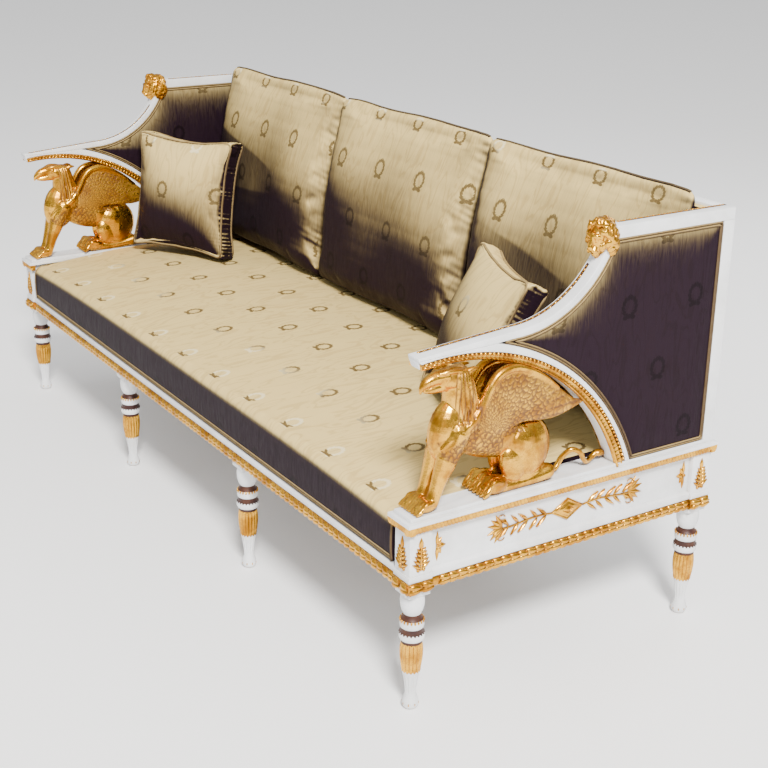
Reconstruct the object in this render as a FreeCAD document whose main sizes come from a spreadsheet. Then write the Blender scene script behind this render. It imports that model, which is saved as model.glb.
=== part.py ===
import FreeCAD, Part
import math
import os

# Three-seat settee with carved griffin arms, in millimetres.
# X runs along the seat, the front looks to -Y, Z is up, and the origin is on the floor at the centre.

Vector = FreeCAD.Vector
Rotation = FreeCAD.Rotation
doc = FreeCAD.newDocument("GriffinArmSettee")
sheet = doc.addObject("Spreadsheet::Sheet", "Sizes")

driving_sizes = {
    # outline of the seat frame
    "half_length": 1080,
    "half_depth": 395,
    "block": 52,
    "overhang": 9,
    "recess": 10,
    "mid_leg_x": 351,
    # heights above the floor
    "leg_top": 262,
    "plate_top": 274,
    "moulding_top": 299,
    "fillet_top": 312,
    "frieze_top": 405,
    "seat_rail_top": 407,
    "cove_top": 420,
    "ledge_top": 428,
    "slab_top": 436,
    "rail_low": 922,
    "arm_top": 947,
    # seat rails and their joints
    "front_rail_back": 327,
    "front_rail_face": 372,
    "front_rail_foot": 387,
    "rear_rail_front": 345,
    "rear_rail_back": 385,
    "side_rail_inside": 1028,
    "side_rail_ledge": 1040,
    "fillet_out": 6,
    "moulding_out": 6,
    "moulding_flat": 4,
    "moulding_full": 9,
    "tenon": 12,
    "tenon_length": 22,
    "side_tenon_in": 38,
    "long_tenon_in": 43,
    "side_tenon_low": 312,
    "front_tenon_low": 358,
    "tenon_tall": 38,
    "spigot_radius": 10.8,
    "spigot_long": 30,
    "bore_gap": 0.2,
    "cross_rail_wide": 40,
    "cross_rail_low": 330,
    "cross_rail_top": 400,
    "brace_leg": 60,
    "brace_low": 335,
    "brace_tall": 50,
    # turned legs
    "leg_plate": 50,
    "foot_radius": 17,
    "ankle_radius": 11,
    "taper_radius": 16,
    "reed_radius": 23.5,
    "groove_radius": 18,
    "low_ring_radius": 26.5,
    "high_ring_radius": 24,
    "bulb_radius": 25.5,
    # arm frame
    "plinth_wide": 75.5,
    "slab_inset": 8.5,
    "arm_thick": 36,
    "post_deep": 30,
    "sweep_radius": 251.3,
    "sweep_centre_y": -161.4,
    "sweep_centre_z": 1010.6,
    "sweep_thick": 15,
    "junction_front": 48,
    "nose_y": -385,
    "arch_radius": 521,
    "arch_centre_y": -332.6,
    "arch_centre_z": 251.2,
    "bead_radius": 479,
    "bead_centre_y": -306,
    "bead_centre_z": 270.8,
    "soffit_radius": 458,
    "soffit_centre_y": -314,
    "soffit_centre_z": 279,
    "bead_deep": 6,
    "bead_proud": 3,
    "panel_inset": 3.5,
    "post_tenon": 16,
    "post_tenon_in": 26,
    "post_foot": 36,
    # back
    "crest_low": 905,
    "low_back_rail_top": 480,
    "back_pad_low": 459,
    "back_pad_deep": 26,
    "outside_cover": 2.5,
    # upholstery
    "strap": 2,
    "strap_wide": 60,
    "seat_end": 1012,
    "seat_crown": 452,
    "seat_end_drop": 12,
    "seat_nose_drop": 17,
    "flange_clear": 5,
    "cover_thick": 2,
    "cushion_span": 1030,
    "cushion_gap": 3,
    "cushion_low": 452.4,
    "cushion_top": 977,
    "cushion_draw": 20,
    "pillow_side": 352,
    "pillow_border": 44,
    "pillow_crown": 30,
    "pillow_draw": 9,
    # carving
    "carving_scale": 1,
    "griffin_x": 1048,
    "lion_x": 1060,
    "lion_y": 62,
    "lion_z": 926,
    "tail_radius": 5.5,
    "dowel_radius": 4,
    "screw_radius": 2.2,
    "mount_thick": 4,
}
for row, (alias, value) in enumerate(driving_sizes.items(), start=1):
    sheet.set(f"A{row}", alias)
    sheet.set(f"B{row}", str(value))
    sheet.setAlias(f"B{row}", alias)
doc.recompute()

nodes = {}


def size(alias):
    return float(sheet.get(alias))


def cell(text):
    # An expression on the sheet: every word in the text is an alias.
    words = text.split()
    return " ".join("Sizes." + word if word[0].isalpha() else word for word in words)


def bind(thing, **expressions):
    for name, text in expressions.items():
        path = {"x": "Placement.Base.x", "y": "Placement.Base.y", "z": "Placement.Base.z"}.get(name, name)
        thing.setExpression(path, cell(str(text)))
    return thing


def keep(label, thing):
    thing.Label = label
    nodes[label] = thing
    return thing


def box(name, x, y, z, length, width, height):
    solid = doc.addObject("Part::Box", name)
    return bind(solid, x=x, y=y, z=z, Length=length, Width=width, Height=height)


def cylinder(name, radius, height, base, axis):
    solid = doc.addObject("Part::Cylinder", name)
    bind(solid, Radius=radius, Height=height)
    solid.Placement = FreeCAD.Placement(base, Rotation(Vector(0, 0, 1), axis))
    return solid


def cone(name, start, end, start_radius, end_radius):
    solid = doc.addObject("Part::Cone", name)
    reach = end - start
    bind(solid, Radius1=f"carving_scale * {start_radius}", Radius2=f"carving_scale * {end_radius}")
    bind(solid, Height=f"carving_scale * {reach.Length}")
    solid.Placement = FreeCAD.Placement(start, Rotation(Vector(0, 0, 1), reach))
    return solid


def rounded(name, centre, radius_x, radius_y, radius_z, tilt=0):
    # A rounded mass: a loft through ellipses stacked along its upright axis.
    lean = Rotation(Vector(1, 0, 0), tilt)
    rings = []
    for number, level in enumerate([-0.985, -0.85, -0.5, 0, 0.5, 0.85, 0.985]):
        share = math.sqrt(1 - level ** 2)
        ring = doc.addObject("Part::Ellipse", f"{name}_ring_{number}")
        bind(ring, MajorRadius=f"carving_scale * {radius_y * share}")
        bind(ring, MinorRadius=f"carving_scale * {radius_x * share}")
        middle = centre + lean.multVec(Vector(0, 0, level * radius_z))
        ring.Placement = FreeCAD.Placement(middle, lean.multiply(Rotation(Vector(0, 0, 1), 90)))
        rings.append(ring)
    mass = doc.addObject("Part::Loft", name)
    mass.Sections = rings
    mass.Solid = True
    return mass


def fuse(name, pieces):
    solid = doc.addObject("Part::MultiFuse", name)
    solid.Shapes = pieces
    solid.Refine = True
    return solid


def cut(name, base, tools):
    for number, tool in enumerate(tools):
        solid = doc.addObject("Part::Cut", f"{name}_cut_{number}")
        solid.Base = base
        solid.Tool = tool
        base = solid
    return base


def group(name, pieces):
    solid = doc.addObject("Part::Compound", name)
    solid.Links = pieces
    return solid


def line(start, end):
    return Part.LineSegment(Vector(*start, 0), Vector(*end, 0))


def arc(start, middle, end):
    return Part.Arc(Vector(*start, 0), Vector(*middle, 0), Vector(*end, 0))


def polygon(corners):
    return [line(first, second) for first, second in zip(corners, corners[1:] + corners[:1])]


def padded(name, plane, outline, depth, **place):
    # A body padded from an outline on one of its own origin planes.
    body = doc.addObject("PartDesign::Body", name)
    sketch = body.newObject("Sketcher::SketchObject", name + "_outline")
    sketch.AttachmentSupport = (origin_plane(body, plane), [""])
    sketch.MapMode = "FlatFace"
    for edge in outline:
        sketch.addGeometry(edge, False)
    pad = body.newObject("PartDesign::Pad", name + "_pad")
    pad.Profile = sketch
    bind(pad, Length=depth)
    return bind(body, **place)


def turned(name, outline):
    # A body turned about Z from an outline of radius and height.
    body = doc.addObject("PartDesign::Body", name)
    sketch = body.newObject("Sketcher::SketchObject", name + "_outline")
    sketch.AttachmentSupport = (origin_plane(body, "XZ_Plane"), [""])
    sketch.MapMode = "FlatFace"
    for edge in outline:
        sketch.addGeometry(edge, False)
    turning = body.newObject("PartDesign::Revolution", name + "_turning")
    turning.Profile = sketch
    turning.ReferenceAxis = (sketch, ["V_Axis"])
    turning.Angle = 360
    return body


def origin_plane(body, role):
    return next(feature for feature in body.Origin.OriginFeatures if feature.Role == role)


def formed(name, shape, placement=FreeCAD.Placement()):
    # A soft form, set as a finished shape.
    solid = doc.addObject("Part::Feature", name)
    solid.Shape = shape
    solid.Placement = placement
    return solid


def wire_in_plane(x, edges):
    # Edges drawn in (y, z) become a closed wire in the plane at x.
    shapes = []
    for edge in edges:
        points = [Vector(x, point[0], point[1]) for point in edge]
        if len(points) == 2:
            shapes.append(Part.LineSegment(*points).toShape())
        else:
            shapes.append(Part.Arc(*points).toShape())
    return Part.Wire(shapes)


sides = {"right": 1, "left": -1}
ends = {"front": -1, "rear": 1}


def low_x(side, inner, outer):
    # The lower X of a span given by its distances from the centre, on either side.
    return inner if side > 0 else f"0 - ( {outer} )"


# Seat frame: corner blocks, rails and what braces them

def leg_places():
    across = {"right": "half_length - block / 2", "mid_right": "mid_leg_x"}
    places = {}
    for end, front in ends.items():
        for spot, x in across.items():
            places[f"leg_{end}_{spot}"] = (x, f"{front} * ( half_depth - block / 2 )")
        for spot, x in across.items():
            y = places[f"leg_{end}_{spot}"][1]
            places[f"leg_{end}_{spot.replace('right', 'left')}"] = (f"-1 * ( {x} )", y)
    return places


def leg_bores(name):
    # The bores that take the leg spigots, a little wider than the spigots.
    bores = []
    for label, (x, y) in leg_places().items():
        bore = doc.addObject("Part::Cylinder", f"{name}_{label}_bore")
        bind(bore, x=x, y=y, z="plate_top")
        bind(bore, Radius="spigot_radius + bore_gap", Height="spigot_long + bore_gap")
        bores.append(bore)
    return group(name + "_bores", bores)


def side_tenon(name, side, front):
    y = "half_depth - block" if front > 0 else "block - half_depth - tenon_length"
    x = low_x(side, "half_length - side_tenon_in", "half_length - side_tenon_in + tenon")
    return box(name, x, y, "side_tenon_low", "tenon", "tenon_length", "tenon_tall")


def long_tenon(name, side, front):
    y = "half_depth - long_tenon_in" if front > 0 else "long_tenon_in - tenon - half_depth"
    x = low_x(side, "half_length - block", "half_length - block + tenon_length")
    return box(name, x, y, "front_tenon_low", "tenon_length", "tenon", "tenon_tall")


def post_tenon(name, side):
    x = low_x(side, "half_length - post_tenon_in", "half_length - post_tenon_in + post_tenon")
    return box(name, x, "half_depth - post_deep + 7", "slab_top - post_foot",
               "post_tenon", "post_tenon", "post_foot")


def make_corner_blocks(bores):
    for end, front in ends.items():
        for hand, side in sides.items():
            name = f"{end}_{hand}_corner_block"
            x = low_x(side, "half_length - block", "half_length")
            y = "half_depth - block" if front > 0 else "0 - half_depth"
            column = box(name + "_column", x, y, "plate_top", "block", "block", "cove_top - plate_top")
            band_x = low_x(side, "half_length - block", "half_length + 3")
            band_y = "half_depth - block" if front > 0 else "0 - half_depth - 3"
            band = box(name + "_band", band_x, band_y, "moulding_top", "block + 3", "block + 3",
                       "fillet_top - moulding_top")
            tools = [side_tenon(name + "_side_mortise", side, front),
                     long_tenon(name + "_long_mortise", side, front), bores]
            if front > 0:
                tools.append(post_tenon(name + "_post_mortise", side))
            keep(name, cut(name, fuse(name + "_blank", [column, band]), tools))


def make_front_rail(bores, screws):
    back, face = -size("front_rail_back"), -size("front_rail_face")
    foot, lip = -size("front_rail_foot"), -size("front_rail_foot") - size("fillet_out")
    bottom, top = size("plate_top"), size("seat_rail_top")
    step, shelf = size("moulding_top"), size("fillet_top")
    outline = polygon([(back, bottom), (foot, bottom), (foot, step), (lip, step), (lip, shelf),
                       (face, shelf + 4), (face, top), (back, top)])
    long = "2 * ( half_length - block )"
    rail = padded("front_seat_rail_bar", "YZ_Plane", outline, long, x="block - half_length")
    tenons = [long_tenon(f"front_seat_rail_tenon_{hand}", side, -1) for hand, side in sides.items()]
    blank = fuse("front_seat_rail_blank", [rail] + tenons)
    keep("front_seat_rail", cut("front_seat_rail", blank, [bores, screws]))


def make_rear_rail(bores, screws):
    rail = box("rear_seat_rail_bar", "block - half_length", "rear_rail_front", "plate_top",
               "2 * ( half_length - block )", "rear_rail_back - rear_rail_front",
               "seat_rail_top - plate_top")
    tenons = [long_tenon(f"rear_seat_rail_tenon_{hand}", side, 1) for hand, side in sides.items()]
    blank = fuse("rear_seat_rail_blank", [rail] + tenons)
    keep("rear_seat_rail", cut("rear_seat_rail", blank, [bores, screws]))


def make_side_rails(screws):
    out = size("half_length")
    face, lip = out - size("recess"), out - 2
    bottom, top = size("plate_top"), size("cove_top")
    ledge = size("seat_rail_top") + size("strap")
    inside, rebate = size("side_rail_inside"), size("side_rail_ledge")
    step, shelf, frieze = size("moulding_top"), size("fillet_top"), size("frieze_top")
    outline = [(inside, bottom), (face + 2, bottom), (face + 2, step), (lip, step), (lip, shelf),
               (face, shelf + 4), (face, frieze), (out, frieze), (out, top), (rebate, top),
               (rebate, ledge), (inside, ledge)]
    for hand, side in sides.items():
        name = f"{hand}_seat_rail"
        mirrored = polygon([(side * x, z) for x, z in outline])
        deep = "2 * ( half_depth - block )"
        rail = padded(name + "_bar", "XZ_Plane", mirrored, deep, y="half_depth - block")
        tenons = [side_tenon(f"{name}_tenon_{end}", side, front) for end, front in ends.items()]
        keep(name, cut(name, fuse(name + "_blank", [rail] + tenons), [screws]))


def make_cross_rails():
    rails = []
    for hand, side in sides.items():
        x = f"{side} * mid_leg_x - cross_rail_wide / 2"
        rails.append(box(f"cross_rail_{hand}", x, "0 - front_rail_back", "cross_rail_low",
                         "cross_rail_wide", "front_rail_back + rear_rail_front",
                         "cross_rail_top - cross_rail_low"))
    keep("seat_cross_rails", group("seat_cross_rails", rails))


def brace_corners():
    for end, front in ends.items():
        for hand, side in sides.items():
            y = size("rear_rail_front") if front > 0 else -size("front_rail_back")
            yield end, hand, side, front, Vector(side * size("side_rail_inside"), y, size("brace_low"))


def make_brace_screws():
    # One screw into each rail of a corner, its head let into the brace.
    screws, sockets = [], []
    depth = size("brace_leg") / 2
    for end, hand, side, front, corner in brace_corners():
        height = size("brace_tall") / 2
        for number, (along, into) in enumerate([(Vector(-side, 0, 0), Vector(0, front, 0)),
                                                (Vector(0, -front, 0), Vector(side, 0, 0))]):
            name = f"screw_{end}_{hand}_{number}"
            rise = Vector(0, 0, height + (8 if number else -8))
            head = corner + along * depth - into * (depth - 8) + rise
            shank = cylinder(name + "_shank", "screw_radius", "brace_leg - 20", head, into)
            cap = cylinder(name + "_head", "2 * screw_radius", "4", head - into * 4, into)
            screws.append(fuse(name, [shank, cap]))
            mouth = head - into * depth
            sockets.append(cylinder(name + "_socket", "2 * screw_radius", "brace_leg / 2", mouth, into))
    keep("brace_screws", group("brace_screws", screws))
    return nodes["brace_screws"], group("screw_sockets", sockets)


def make_corner_braces(screws, sockets):
    braces = []
    leg = size("brace_leg")
    for end, hand, side, front, corner in brace_corners():
        x, y = corner.x, corner.y
        outline = polygon([(x, y), (x - side * leg, y), (x, y - front * leg)])
        brace = padded(f"corner_brace_{end}_{hand}", "XY_Plane", outline, "brace_tall", z="brace_low")
        braces.append(cut(brace.Name + "_bored", brace, [screws, sockets]))
    keep("corner_braces", group("corner_braces", braces))


# Turned legs

def leg_outline():
    foot, ankle, taper = size("foot_radius"), size("ankle_radius"), size("taper_radius")
    reed, groove = size("reed_radius"), size("groove_radius")
    low_ring, high_ring, bulb = size("low_ring_radius"), size("high_ring_radius"), size("bulb_radius")
    top, tip = size("leg_top"), size("plate_top") + size("spigot_long")
    spigot = size("spigot_radius")
    return [
        line((0, 0), (foot - 5, 0)),
        arc((foot - 5, 0), (foot, 12), (ankle, 25)),
        line((ankle, 25), (taper, 88)),
        line((taper, 88), (reed - 4.5, 90)),
        arc((reed - 4.5, 90), (reed, 128), (reed - 1.5, 155)),
        line((reed - 1.5, 155), (groove, 157)),
        line((groove, 157), (groove, 161)),
        line((groove, 161), (low_ring - 3.5, 163)),
        arc((low_ring - 3.5, 163), (low_ring, 173), (low_ring - 3.5, 183)),
        line((low_ring - 3.5, 183), (groove, 185)),
        line((groove, 185), (groove, 189)),
        line((groove, 189), (high_ring - 3, 191)),
        arc((high_ring - 3, 191), (high_ring, 204), (high_ring - 3, 217)),
        line((high_ring - 3, 217), (groove - 1, 219)),
        line((groove - 1, 219), (groove - 1, 222)),
        arc((groove - 1, 222), (bulb, 247), (bulb - 3.5, top)),
        line((bulb - 3.5, top), (spigot, top)),
        line((spigot, top), (spigot, tip)),
        line((spigot, tip), (0, tip)),
        line((0, tip), (0, 0)),
    ]


def make_legs():
    for label, (x, y) in leg_places().items():
        shaft = turned(label + "_shaft", leg_outline())
        plate = box(label + "_plate", "0 - leg_plate / 2", "0 - leg_plate / 2", "leg_top",
                    "leg_plate", "leg_plate", "plate_top - leg_top")
        keep(label, bind(fuse(label, [shaft, plate]), x=x, y=y))


# Gilt base moulding and frieze mounts

def swelling(face, out):
    # A strip with a rounded outer side, its flat back on the given face.
    low, high = size("plate_top"), size("moulding_top")
    flat, full = face + out * size("moulding_flat"), face + out * size("moulding_full")
    return [
        line((face, high), (face, low)),
        line((face, low), (flat, low)),
        arc((flat, low), (full, (low + high) / 2), (flat, high)),
        line((flat, high), (face, high)),
    ]


def make_front_moulding():
    name = "base_moulding_front"
    swell = swelling(-size("front_rail_foot"), -1)
    long = "2 * ( half_length - block )"
    keep(name, padded(name, "YZ_Plane", swell, long, x="block - half_length"))


def make_side_mouldings():
    face = size("half_length") - size("recess") + 2
    tall, deep = "moulding_top - plate_top", "2 * ( half_depth - block )"
    for hand, side in sides.items():
        name = f"base_moulding_{hand}"
        swell = swelling(side * face, side)
        strip = padded(name + "_strip", "XZ_Plane", swell, deep, y="half_depth - block")
        x_face = low_x(side, "half_length", "half_length + moulding_out")
        returns = [
            box(f"{name}_front_cap", x_face, "0 - half_depth - moulding_out", "plate_top", "moulding_out",
                "block + moulding_out + 2", tall),
            box(f"{name}_rear_cap", x_face, "half_depth - block - 2", "plate_top", "moulding_out",
                "block + 2", tall),
        ]
        x_front = low_x(side, "half_length - block", "half_length + moulding_out")
        nose = box(name + "_front_face", x_front, "0 - half_depth - moulding_out", "plate_top",
                   "block + moulding_out", "moulding_out", tall)
        keep(name, fuse(name, [strip, nose] + returns))


def leaf(length, wide):
    # A pointed leaf between two arcs, along the first axis.
    half = wide / 2
    return [
        arc((0, 0), (length / 2, half), (length, 0)),
        arc((length, 0), (length / 2, -half), (0, 0)),
    ]


def applied(edges, place, across, up):
    # A flat mount of the stated thickness, its outline turned on to a face.
    face = Part.Face(Part.Wire([edge.toShape() for edge in edges]))
    solid = face.extrude(Vector(0, 0, size("mount_thick")))
    out = across.cross(up)
    turn = FreeCAD.Matrix(across.x, up.x, out.x, place.x, across.y, up.y, out.y, place.y,
                          across.z, up.z, out.z, place.z)
    return solid.transformed(turn)


def spray(start, along, up, reach):
    # A stalk with paired leaves, ending in a fan-shaped bud.
    stalk = applied(leaf(reach, 7), start, along, up)
    growth = [applied(leaf(46, 26), start + along * reach * 0.72, along, up)]
    for part in (0.15, 0.4):
        for lift in (0.6, -0.6):
            outward = (along + up * lift).normalize()
            sideways = (up - along * lift).normalize()
            growth.append(applied(leaf(30, 10), start + along * reach * part, outward, sideways))
    return stalk.fuse(growth)


def make_frieze_mounts():
    up = Vector(0, 0, 1)
    middle = (size("fillet_top") + size("frieze_top")) / 2
    foot = size("fillet_top") + 1
    for hand, side in sides.items():
        recessed = side * (size("half_length") - size("recess"))
        outer = side * size("half_length")
        forward, rearward = Vector(0, -1, 0), Vector(0, 1, 0)
        across = rearward if side > 0 else forward
        lozenge = polygon([(-52, 0), (0, 21), (52, 0), (0, -21)])
        pieces = [applied(lozenge, Vector(recessed, 0, middle), across, up)]
        for heading in (1, -1):
            along = across * heading
            upward = up * heading
            pieces.append(spray(Vector(recessed, along.y * 50, middle), along, upward, 125))
            foot_of_bar = Vector(recessed, along.y * 330, middle - heading * 35)
            bar = applied(leaf(70, 12), foot_of_bar, upward, along * -1)
            knob = applied(leaf(24, 22), Vector(recessed, along.y * 328, middle), along * -1, upward * -1)
            pieces.append(bar.fuse(knob))
        palm_y = size("half_depth") - size("block") / 2
        for end in (-1, 1):
            pieces.append(applied(leaf(70, 30), Vector(outer, end * palm_y, foot), up, across * -1))
        palm_x = side * (size("half_length") - size("block") / 2)
        front_foot = Vector(palm_x, -size("half_depth"), foot)
        pieces.append(applied(leaf(70, 30), front_foot, up, Vector(-1, 0, 0)))
        keep(f"frieze_mounts_{hand}", formed(f"frieze_mounts_{hand}", Part.makeCompound(pieces)))


# Arms: plinth, cove, curved members, post and stuffed panel

def on_circle(part, y):
    # Height of an arm circle above the floor at the given depth.
    rise = math.sqrt(size(part + "_radius") ** 2 - (y - size(part + "_centre_y")) ** 2)
    return size(part + "_centre_z") + rise


def foot_of(part):
    # Depth at which an arm circle comes down on the slab.
    drop = size("slab_top") - size(part + "_centre_z")
    return size(part + "_centre_y") + math.sqrt(size(part + "_radius") ** 2 - drop ** 2)


def sweep_point(radius, angle):
    turn = math.radians(angle)
    y, z = size("sweep_centre_y"), size("sweep_centre_z")
    return (y + radius * math.cos(turn), z + radius * math.sin(turn))


def arm_points():
    low = size("sweep_radius")
    high = low - size("sweep_thick")
    join_angle = -math.degrees(math.asin((size("sweep_centre_z") - size("rail_low")) / low))
    front = size("junction_front")
    front_angle = -math.degrees(math.acos((front - size("sweep_centre_y")) / high))
    nose = size("nose_y")
    return {
        "join": sweep_point(low, join_angle),
        "low_middle": sweep_point(low, (join_angle - 90) / 2),
        "low_bottom": sweep_point(low, -90),
        "fork": (-205, on_circle("arch", -205)),
        "junction_foot": sweep_point(high, front_angle),
        "high_middle": sweep_point(high, (front_angle - 90) / 2),
        "high_bottom": sweep_point(high, -90),
        "nose_top": (nose, 757),
        "nose_mid": (nose + 1, 751),
        "nose_low": (nose + 8, on_circle("soffit", nose + 8)),
    }


def arc_down(part, start_y):
    # The arc of an arm circle from a depth down to the slab.
    foot = foot_of(part)
    middle = (start_y + foot) / 2
    return (start_y, on_circle(part, start_y)), (middle, on_circle(part, middle)), (foot, size("slab_top"))


def make_plinths():
    for hand, side in sides.items():
        name = f"plinth_{hand}"
        wide, deep = "plinth_wide", "2 * ( half_depth + overhang )"
        x = low_x(side, "half_length + overhang - plinth_wide", "half_length + overhang")
        ledge = box(name + "_ledge", x, "0 - half_depth - overhang", "cove_top", wide, deep,
                    "ledge_top - cove_top")
        inner = "half_length + overhang - plinth_wide + slab_inset"
        slab_x = low_x(side, inner, "half_length")
        slab = box(name + "_slab", slab_x, "0 - half_depth", "ledge_top",
                   "plinth_wide - overhang - slab_inset", "2 * half_depth", "slab_top - ledge_top")
        blank = fuse(name + "_blank", [ledge, slab])
        tools = [post_tenon(name + "_post_mortise", side), arch_tenon(name + "_arch_mortise", side),
                 griffin_dowels(name, side)]
        keep(name, cut(name, blank, tools))


def arch_tenon(name, side):
    x = low_x(side, "half_length - 24", "half_length - 12")
    middle = (foot_of("arch") + foot_of("soffit")) / 2
    return box(name, x, f"{middle} - 6", "cove_top", "12", "12", "slab_top - cove_top")


def make_coves():
    for hand, side in sides.items():
        name = f"cove_{hand}"
        wedge = doc.addObject("Part::Wedge", name + "_blank")
        inner_low, inner_high = "half_length - 58", "half_length + overhang - plinth_wide"
        outer_low, outer_high = "half_length + 1.5", "half_length + overhang"
        if side < 0:
            inner_low, outer_low = f"-1 * ( {outer_low} )", f"-1 * ( {inner_low} )"
            inner_high, outer_high = f"-1 * ( {outer_high} )", f"-1 * ( {inner_high} )"
        bind(wedge, Xmin=inner_low, Xmax=outer_low, X2min=inner_high, X2max=outer_high)
        bind(wedge, Ymin="0", Ymax="cove_top - frieze_top", z="frieze_top")
        bind(wedge, Zmin="0 - half_depth - 1.5", Zmax="half_depth + 1.5")
        bind(wedge, Z2min="0 - half_depth - overhang", Z2max="half_depth + overhang")
        wedge.Placement.Rotation = Rotation(Vector(1, 0, 0), 90)
        core_x = low_x(side, "half_length - 90", "half_length")
        core = box(name + "_core", core_x, "0 - half_depth", "frieze_top - 1", "90", "2 * half_depth",
                   "cove_top - frieze_top + 2")
        keep(name, cut(name, wedge, [core]))


def member(name, outline, side, inset, depth):
    # A curved arm member: an outline in the side view, padded inwards from the arm's outer face.
    x = low_x(side, f"half_length - ( {inset} ) - ( {depth} )", f"half_length - ( {inset} )")
    return padded(name, "YZ_Plane", outline, depth, x=x)


def make_arm_sweeps():
    point = arm_points()
    top = size("arm_top")
    join, front = point["join"], size("junction_front")
    outline = [
        arc(point["low_bottom"], point["low_middle"], join),
        line(join, (join[0], top)),
        line((join[0], top), (front, top)),
        line((front, top), point["junction_foot"]),
        arc(point["junction_foot"], point["high_middle"], point["high_bottom"]),
        line(point["high_bottom"], point["nose_top"]),
        line(point["nose_top"], point["nose_mid"]),
        line(point["nose_mid"], point["fork"]),
        line(point["fork"], point["low_bottom"]),
    ]
    for hand, side in sides.items():
        name = f"arm_sweep_{hand}"
        bar = member(name + "_bar", outline, side, "0", "arm_thick")
        keep(name, cut(name, bar, [top_rail_tenon(name + "_mortise", side)]))


def arch_outline(lower):
    point = arm_points()
    outer = arc_down("arch", point["fork"][0])
    inner = arc_down(lower, point["nose_low"][0])
    return [
        arc(*outer),
        line(outer[2], inner[2]),
        arc(inner[2], inner[1], inner[0]),
        line(inner[0], point["nose_mid"]),
        line(point["nose_mid"], point["fork"]),
    ]


def make_arm_arches():
    for hand, side in sides.items():
        name = f"arm_arch_{hand}"
        back = member(name + "_soffit", arch_outline("soffit"), side, "bead_deep", "arm_thick - bead_deep")
        face = member(name + "_face", arch_outline("bead"), side, "0", "bead_deep")
        keep(name, fuse(name, [back, face, arch_tenon(name + "_tenon", side)]))
        outer = arc_down("bead", arm_points()["nose_low"][0])
        inner = arc_down("soffit", arm_points()["nose_low"][0])
        bead = [
            arc(*outer),
            line(outer[2], inner[2]),
            arc(inner[2], inner[1], inner[0]),
            line(inner[0], outer[0]),
        ]
        strip = f"arch_moulding_{hand}"
        keep(strip, member(strip, bead, side, "0 - bead_proud", "bead_deep + bead_proud"))


def top_rail_tenon(name, side):
    x = low_x(side, "half_length - post_tenon_in", "half_length - post_tenon_in + post_tenon")
    join = arm_points()["join"][0]
    return box(name, x, f"{join} - 15", "rail_low + 5", "post_tenon", "15", "15")


def post_head(name, side):
    x = low_x(side, "half_length - post_tenon_in", "half_length - post_tenon_in + post_tenon")
    return box(name, x, "half_depth - post_deep + 7", "rail_low", "post_tenon", "post_tenon", "14")


def make_top_rails():
    join = arm_points()["join"][0]
    for hand, side in sides.items():
        name = f"arm_top_rail_{hand}"
        x = low_x(side, "half_length - arm_thick", "half_length")
        bar = box(name + "_bar", x, f"{join}", "rail_low", "arm_thick", f"half_depth - {join}",
                  "arm_top - rail_low")
        blank = fuse(name + "_blank", [bar, top_rail_tenon(name + "_tenon", side)])
        keep(name, cut(name, blank, [post_head(name + "_mortise", side), crest_tenons(name + "_crest")]))


def crest_tenons(name):
    bar = box(name + "_high", "0 - half_length + arm_thick - 14", "half_depth - 21", "crest_low + 4",
              "2 * ( half_length - arm_thick + 14 )", "tenon", "12")
    low = box(name + "_low", "0 - half_length + arm_thick - 14", "half_depth - 21", "slab_top + 10",
              "2 * ( half_length - arm_thick + 14 )", "tenon", "24")
    return group(name + "_tenons", [bar, low])


def make_rear_posts():
    for hand, side in sides.items():
        name = f"rear_post_{hand}"
        x = low_x(side, "half_length - arm_thick", "half_length")
        stile = box(name + "_stile", x, "half_depth - post_deep", "slab_top", "arm_thick", "post_deep",
                    "rail_low - slab_top")
        tenons = [post_tenon(name + "_foot", side), post_head(name + "_head", side)]
        blank = fuse(name + "_blank", [stile] + tenons)
        keep(name, cut(name, blank, [crest_tenons(name + "_mortises")]))


def panel_outline():
    point = arm_points()
    outer = arc_down("arch", point["fork"][0])
    post = size("half_depth") - size("post_deep")
    return [
        arc(point["join"], point["low_middle"], point["low_bottom"]),
        line(point["low_bottom"], point["fork"]),
        arc(*outer),
        line(outer[2], (post, size("slab_top"))),
        line((post, size("slab_top")), (post, size("rail_low"))),
        line((post, size("rail_low")), point["join"]),
    ]


def make_arm_panels():
    for hand, side in sides.items():
        name = f"arm_panel_{hand}"
        keep(name, member(name, panel_outline(), side, "panel_inset", "arm_thick - 2 * panel_inset"))


# Back frame between the posts

def make_back():
    span = "2 * ( half_length - arm_thick )"
    start = "arm_thick - half_length"
    front = "half_depth - post_deep"
    tenons = crest_tenons("back_rails").Links
    crest = box("crest_bar", start, front, "crest_low", span, "post_deep", "arm_top - crest_low")
    keep("back_crest_rail", fuse("back_crest_rail", [crest, tenons[0]]))
    low = box("low_back_bar", start, front, "slab_top", span, "post_deep", "low_back_rail_top - slab_top")
    keep("back_lower_rail", fuse("back_lower_rail", [low, tenons[1]]))
    keep("back_outside_cover", box("back_outside_cover", start, "half_depth - 9", "low_back_rail_top", span,
                                   "outside_cover", "crest_low - low_back_rail_top"))
    rear = size("half_depth") - size("post_deep")
    face, low_z, high_z = rear - size("back_pad_deep"), size("back_pad_low"), size("arm_top") - 6
    swell = [line((rear, low_z), (face + 4, low_z)),
             arc((face + 4, low_z), (face + 2, (low_z + high_z) / 2), (rear - 12, high_z)),
             line((rear - 12, high_z), (rear, high_z)), line((rear, high_z), (rear, low_z))]
    keep("back_pad", padded("back_pad", "YZ_Plane", swell, f"{span} - 4", x=f"{start} + 2"))


# Seat upholstery: straps, stuffing and cover

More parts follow.
